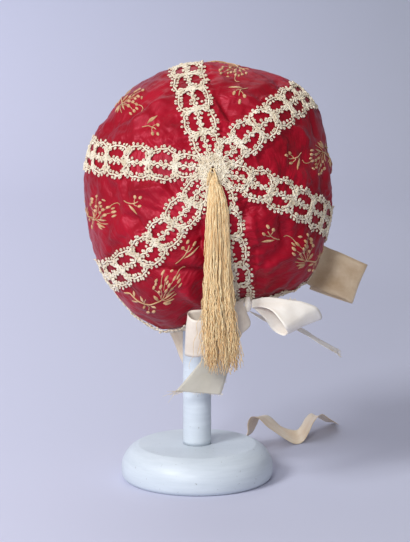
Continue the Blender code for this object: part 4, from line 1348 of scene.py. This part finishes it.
def pad_part(place, x, y, half_width, half_height, heading, pointed=False):
    """A padded patch of satin stitch, oval or pointed at both ends, domed and ribbed across."""
    turn = 2 * np.pi * np.arange(PAD_SIDES) / PAD_SIDES
    grow, high = np.array(PAD_DOME).T
    narrow = 1 - 0.65 * np.abs(np.cos(turn)) ** 1.6 if pointed else np.ones(PAD_SIDES)
    a = grow[:, None] * np.cos(turn) * half_height
    b = grow[:, None] * np.sin(turn) * half_width * narrow
    ribs = 0.06 * np.sin(a * 2 * np.pi / PAD_RIB)
    lift = STITCH_HEIGHT * (high[:, None] * (0.75 if pointed else 1.0) + ribs * (high[:, None] > 0))
    px = x + a * np.cos(heading) - b * np.sin(heading)
    py = y + a * np.sin(heading) + b * np.cos(heading)
    points, _ = place.put(px, py, lift)
    return points, capped_faces(len(grow), PAD_SIDES)


def leaf_part(place, x0, y0, x1, y1, half_width):
    heading = math.atan2(y1 - y0, x1 - x0)
    reach = math.hypot(x1 - x0, y1 - y0) / 2
    return pad_part(place, (x0 + x1) / 2, (y0 + y1) / 2, half_width, reach, heading, pointed=True)


def motif_parts(place, stems, leaves, berries):
    parts = [stem_part(place, points, radius) for points, radius in stems]
    parts += [leaf_part(place, *row) for row in leaves]
    for *shape, turn in berries:
        parts.append(pad_part(place, *shape, math.radians(90 + turn)))
    return parts


def build_embroidery(gold):
    sprig = (SPRIG_STEMS, SPRIG_LEAVES, SPRIG_BERRIES)
    spray = (SPRAY_STEMS, SPRAY_LEAVES, SPRAY_BERRIES)
    motifs = ((SPRIG_PLACES, SPRIG_OUTWARD, sprig), (SPRAY_PLACES, SPRAY_OUTWARD, spray))
    for gore in range(1, GORES + 1):
        parts = []
        for rows, outward, motif in motifs:
            for row in rows:
                if row[0] == gore:
                    parts += motif_parts(Place(*row, outward), *motif)
        add_piece(f"embroidery_{gore}", parts, gold, "embroidery_thread")


# Tassel


def back_of_crown(x, z):
    """The y at which level lines from behind first meet the crown."""
    outside, inside = np.full(x.shape, FAR_BEHIND), np.full(x.shape, CROWN_CENTRE[1])
    for _ in range(HALVINGS):
        y = (outside + inside) / 2
        arm = np.stack([x, y, z], -1) - CROWN_CENTRE
        reach = np.linalg.norm(arm, axis=-1)
        angle = np.arccos(np.clip(arm @ AXIS / reach, -1, 1))
        direction = np.arctan2(arm @ UP, arm @ RIGHT)
        surface = gap(crown_shape(angle, direction), CROWN_CENTRE)
        reached = (angle < rim_angle(direction)) & (reach < surface)
        outside, inside = np.where(reached, outside, y), np.where(reached, y, inside)
    return outside


def build_tassel(straw):
    """Wavy strands from a small head, on the crown as far as it bulges and then plumb."""
    rows = np.array(TASSEL_ROWS)[::-1]
    count = TASSEL_STRANDS

    def draws(low, high):
        return RANDOM.uniform(low, high, count)

    def spread(middle, size):
        return RANDOM.normal(middle, size, count)[:, None]

    place = draws(-1, 1)
    place = np.sign(place) * np.abs(place) ** 0.85
    depth = draws(0, 1) ** 0.8 * np.sqrt(1 - 0.85 * place**2)
    tip = draws(*TASSEL_TIP) + 4 * MM * np.abs(place)
    top = (TASSEL_ROWS[0][0] - 2.0) * MM
    share = np.linspace(0, 1, TASSEL_RINGS) ** 0.9
    z = top + (tip - top)[:, None] * share
    middle, half, deep = (np.interp(z / MM, rows[:, 0], rows[:, column]) * MM for column in (1, 2, 3))
    x = middle + place[:, None] * half
    rest = np.minimum.accumulate(back_of_crown(x, z), axis=1) - TASSEL_LIFT
    y = rest - depth[:, None] * deep
    loose = smoothstep((top - z) / TASSEL_LOOSE_OVER)
    lock = np.floor((place + 1) / 2 * TASSEL_LOCKS).astype(int)
    pitch = RANDOM.uniform(*TASSEL_LOCK_PITCH, TASSEL_LOCKS + 1)[lock][:, None] * MM
    phase = RANDOM.uniform(0, 7, TASSEL_LOCKS + 1)[lock][:, None]
    sway = np.sin(2 * np.pi * z / pitch + phase)
    x += (0.2 + 0.6 * loose) * MM * sway + spread(0, 1.5 * MM) * (share * loose)
    for length, size in TASSEL_WAVES:
        for values, more in ((x, 1.0), (y, 0.6)):
            pitch = 2 * np.pi / (length * MM * draws(0.75, 1.35))
            phase = draws(0, 2 * np.pi)
            height = size * more * MM * draws(0.3, 1.2)
            wave = np.sin(z * pitch[:, None] + phase[:, None])
            values += (0.15 + 0.85 * loose**1.4) * height[:, None] * wave
    flare = smoothstep((share - 0.8) / 0.2) * spread(0, TASSEL_FLARE)
    x += flare + smoothstep((share - 0.55) / 0.45) * place[:, None] * 1.0 * MM
    stray = (draws(0, 1) < TASSEL_STRAYS)[:, None]
    x += stray * spread(*TASSEL_STRAY_X) * share**1.6 * loose
    line = np.stack([x, np.minimum(y, rest + 0.4 * MM), z], -1)
    forward = unit(np.gradient(line, axis=1))
    side = unit(np.cross(forward, AWAY))
    out = np.cross(side, forward)
    thick = STRAND_RADIUS * draws(0.75, 1.2)[:, None] * (1 - 0.45 * share**6)
    thick = thick * np.where(stray, 0.6, 1.0)
    parts = [tubes(line, side, out, thick, thick, STRAND_SIDES), *tassel_head_parts()]
    add_piece("tassel_strands", parts, straw, "straw_tassel", "tassel")


def tassel_head_parts():
    """The turns of thread that bind the strands under the head, and the loop that it hangs by."""
    back = back_of_crown(np.array([TASSEL_HEAD_X]), np.array([TASSEL_HEAD_Z]))[0] - TASSEL_LIFT
    turn = np.linspace(0, 2 * np.pi, 30, endpoint=False)
    parts = []
    for k in range(TASSEL_BINDINGS):
        x = TASSEL_HEAD_X + 0.9 * MM + 3.5 * MM * np.cos(turn)
        y = back - 1.2 * MM + 2.6 * MM * np.sin(turn)
        z = 253.2 * MM + k * 0.9 * MM + 0.3 * MM * np.sin(turn * 2 + k)
        line = np.stack([x, y, z], -1)
        up = np.broadcast_to(np.array((0.0, 0.0, 1.0)), line.shape)
        outward = unit(line - line.mean(axis=0))
        parts.append(tube(line, outward, up, TASSEL_BINDING_RADIUS, TASSEL_HEAD_SIDES, loop=True))
    at = np.linspace(0, 1, 24)
    for lean in (-1, 1):
        x = TASSEL_HEAD_X + lean * (0.6 + 3.2 * np.sin(np.pi * at * 0.6)) * MM
        y = back - (1.4 + 3.0 * np.sin(np.pi * at)) * MM
        line = np.stack([x, y, (264.0 - 13.0 * at) * MM], -1)
        forward = np.gradient(line, axis=0)
        side = unit(np.cross(forward, AWAY))
        out = unit(np.cross(side, forward))
        parts.append(tube(line, side, out, TASSEL_LOOP_RADIUS, TASSEL_HEAD_SIDES))
    return parts


# Ribbon


def grid_normals(grid):
    return unit(np.cross(np.gradient(grid, axis=0), np.gradient(grid, axis=1)))


def ribbon_grid(rows, ripple, cup, seed):
    """A strip through rows of two edge points: its middle surface, normals and lengths."""
    rows = np.array(rows, float) * MM
    weights = cubic_weights((len(rows) - 1) * RIBBON_STEPS + 1, len(rows))
    left, right = weights @ rows[:, 0], weights @ rows[:, 1]
    u = np.linspace(0, 1, RIBBON_COLUMNS)
    grid = left[:, None, :] + (right - left)[:, None, :] * u[:, None]
    along = run_along(grid[:, RIBBON_COLUMNS // 2])
    free = np.minimum(1.0, np.minimum(np.arange(len(grid)), RIBBON_HELD) / RIBBON_HELD)[:, None]
    wave = waves(grid, 16 * MM, seed) * ripple * free
    bulge = cup * 4 * u * (1 - u) * free
    grid = grid + grid_normals(grid) * (wave + bulge)[..., None]
    return grid, grid_normals(grid), along


def build_frays(node_name, thread):
    """Loose threads along a ribbon's worn edges."""
    parts = []
    at = np.linspace(0, 1, FRAY_STEPS)[:, None]
    for name, start, end, away, count, longest in FRAY_ROWS:
        if name != node_name:
            continue
        start, end = np.array(start) * MM, np.array(end) * MM
        for _ in range(count):
            heading = unit(np.array(away) + RANDOM.normal(0, 0.35, 3))
            reach = longest * MM * RANDOM.uniform(0.35, 1.0)
            root = start + (end - start) * RANDOM.uniform(0, 1)
            line = root + reach * (at * heading + at**2 * RANDOM.normal(0, 0.3, 3))
            _, side, out = frames(line, unit(np.cross(heading, SLANT)))
            parts.append(tube(line, side, out, FRAY_RADIUS, FRAY_SIDES))
    return [add_piece(f"{node_name}_frays", parts, thread, "cream_ribbon")] if parts else []


def build_ribbon(node_name, rows, silk, thread, held, rests_on, seed, ripple, cup):
    grid, normal, along = ribbon_grid(rows, ripple * MM, cup * MM, seed)
    half = RIBBON_THICKNESS / 2 * normal
    u = np.linspace(0, 1, RIBBON_COLUMNS)[None, :] * RIBBON_WIDTH + np.zeros((len(grid), 1))
    v = along[:, None] + np.zeros(RIBBON_COLUMNS)
    piece = add_cloth(node_name, "ribbon", grid + half, grid - half, silk, "cream_ribbon", u, v)
    frays = build_frays(node_name, thread)


def sewn_rows(directions):
    """The end of a tie, held flat inside the rim, in mm."""
    rows = []
    for inset in (TIE_INSET, -TIE_OVERHANG):
        row = []
        for degrees in directions:
            direction = np.array(math.radians(degrees))
            edge = np.linalg.norm(crown_shape(rim_angle(direction), direction) - CROWN_CENTRE)
            row.append(tuple(crown_shape(rim_angle(direction) - inset / edge, direction, -TIE_UNDER) / MM))
        rows.append(tuple(row))
    return tuple(rows)


def build_knot(silk):
    """The bow's knot: ribbon wound once round, in soft folds."""
    turn = 2 * np.pi * np.arange(KNOT_SIDES) / KNOT_SIDES
    rise = np.linspace(-1, 1, KNOT_RINGS)[:, None]
    swell = np.sqrt(np.maximum(0.0, 1 - rise**2 * 0.93))
    folds = 1 + 0.08 * np.sin(rise * 9) * np.cos(turn * 2 + 0.6) + 0.05 * np.sin(rise * 17)
    level = rise + np.zeros(KNOT_SIDES)
    shape = np.stack([swell * folds * np.cos(turn), swell * folds * np.sin(turn), level], -1)
    points = (np.array(KNOT_CENTRE) + shape * np.array(KNOT_SIZE)) * MM
    uv = np.stack([rise * 0.006 + np.zeros(KNOT_SIDES), turn * 0.004 + 0 * rise], -1)
    piece = mesh_of("bow_knot_ribbon", points, capped_faces(KNOT_RINGS, KNOT_SIDES), silk, uv)
    finish_piece(piece, "cream_ribbon", "bow_knot")


def build_ribbons(thread):
    silks = {name: ribbon_material(f"{name}_silk_ribbon", *look) for name, look in RIBBON_LOOKS.items()}
    build_knot(silks["cream"])
    for name, rows, sewn_at, silk, *rest in RIBBON_ROWS:
        sewn = sewn_rows(sewn_at) if sewn_at else ()
        build_ribbon(name, sewn + rows, silks[silk], thread, *rest)


# Stage


def build_stage():
    """A floor that sweeps up into a backdrop behind the stand."""
    profile = [(FLOOR_FRONT, 0.0)]
    for turn in np.linspace(0, np.pi / 2, SWEEP_STEPS):
        rise = SWEEP_RADIUS - SWEEP_RADIUS * math.cos(turn)
        profile.append((SWEEP_START + SWEEP_RADIUS * math.sin(turn), rise))
    profile.append((SWEEP_START + SWEEP_RADIUS, WALL_TOP))
    points = np.array([[(side, y, z) for side in (-FLOOR_HALF, FLOOR_HALF)] for y, z in profile])
    floor = mesh_of("floor", points, [grid_faces(len(profile), 2)[:, ::-1]], backdrop_material())


def build_lights():
    for name, place, target, size, power, colour in LIGHT_ROWS:
        data = bpy.data.lights.new(name, "AREA")
        data.shape = "RECTANGLE"
        data.size, data.size_y = size
        data.energy = power
        data.color = colour
        light = bpy.data.objects.new(name, data)
        light.location = place
        light.rotation_euler = (Vector(target) - Vector(place)).to_track_quat("-Z", "Y").to_euler()
        bpy.context.scene.collection.objects.link(light)
    world = bpy.data.worlds.new("studio")
    world.use_nodes = True
    background = world.node_tree.nodes["Background"]
    background.inputs["Color"].default_value = (*WORLD_COLOUR, 1.0)
    background.inputs["Strength"].default_value = WORLD_STRENGTH
    bpy.context.scene.world = world


def build_camera():
    data = bpy.data.cameras.new("camera")
    data.lens = CAMERA_LENS
    data.sensor_width = CAMERA_SENSOR
    data.clip_end = 20.0
    camera = bpy.data.objects.new("camera", data)
    back = Vector((0.0, -math.cos(CAMERA_ELEVATION), math.sin(CAMERA_ELEVATION)))
    camera.location = CAMERA_TARGET + CAMERA_DISTANCE * back
    camera.rotation_euler = (-back).to_track_quat("-Z", "Y").to_euler()
    bpy.context.scene.collection.objects.link(camera)
    bpy.context.scene.camera = camera
    bpy.context.scene.view_settings.view_transform = "Standard"


def main():
    build_camera()
    build_stage()
    build_lights()
    braid, gold, straw = (thread_material(*row) for row in THREAD_ROWS)
    build_silk(silk_material())
    for seam in range(GORES):
        build_braid_arm(seam, braid)
    build_braid_centre(braid)
    build_edge_braid(braid)
    build_embroidery(gold)
    build_tassel(straw)
    build_ribbons(braid)
    build_stand(paint_material())


main()
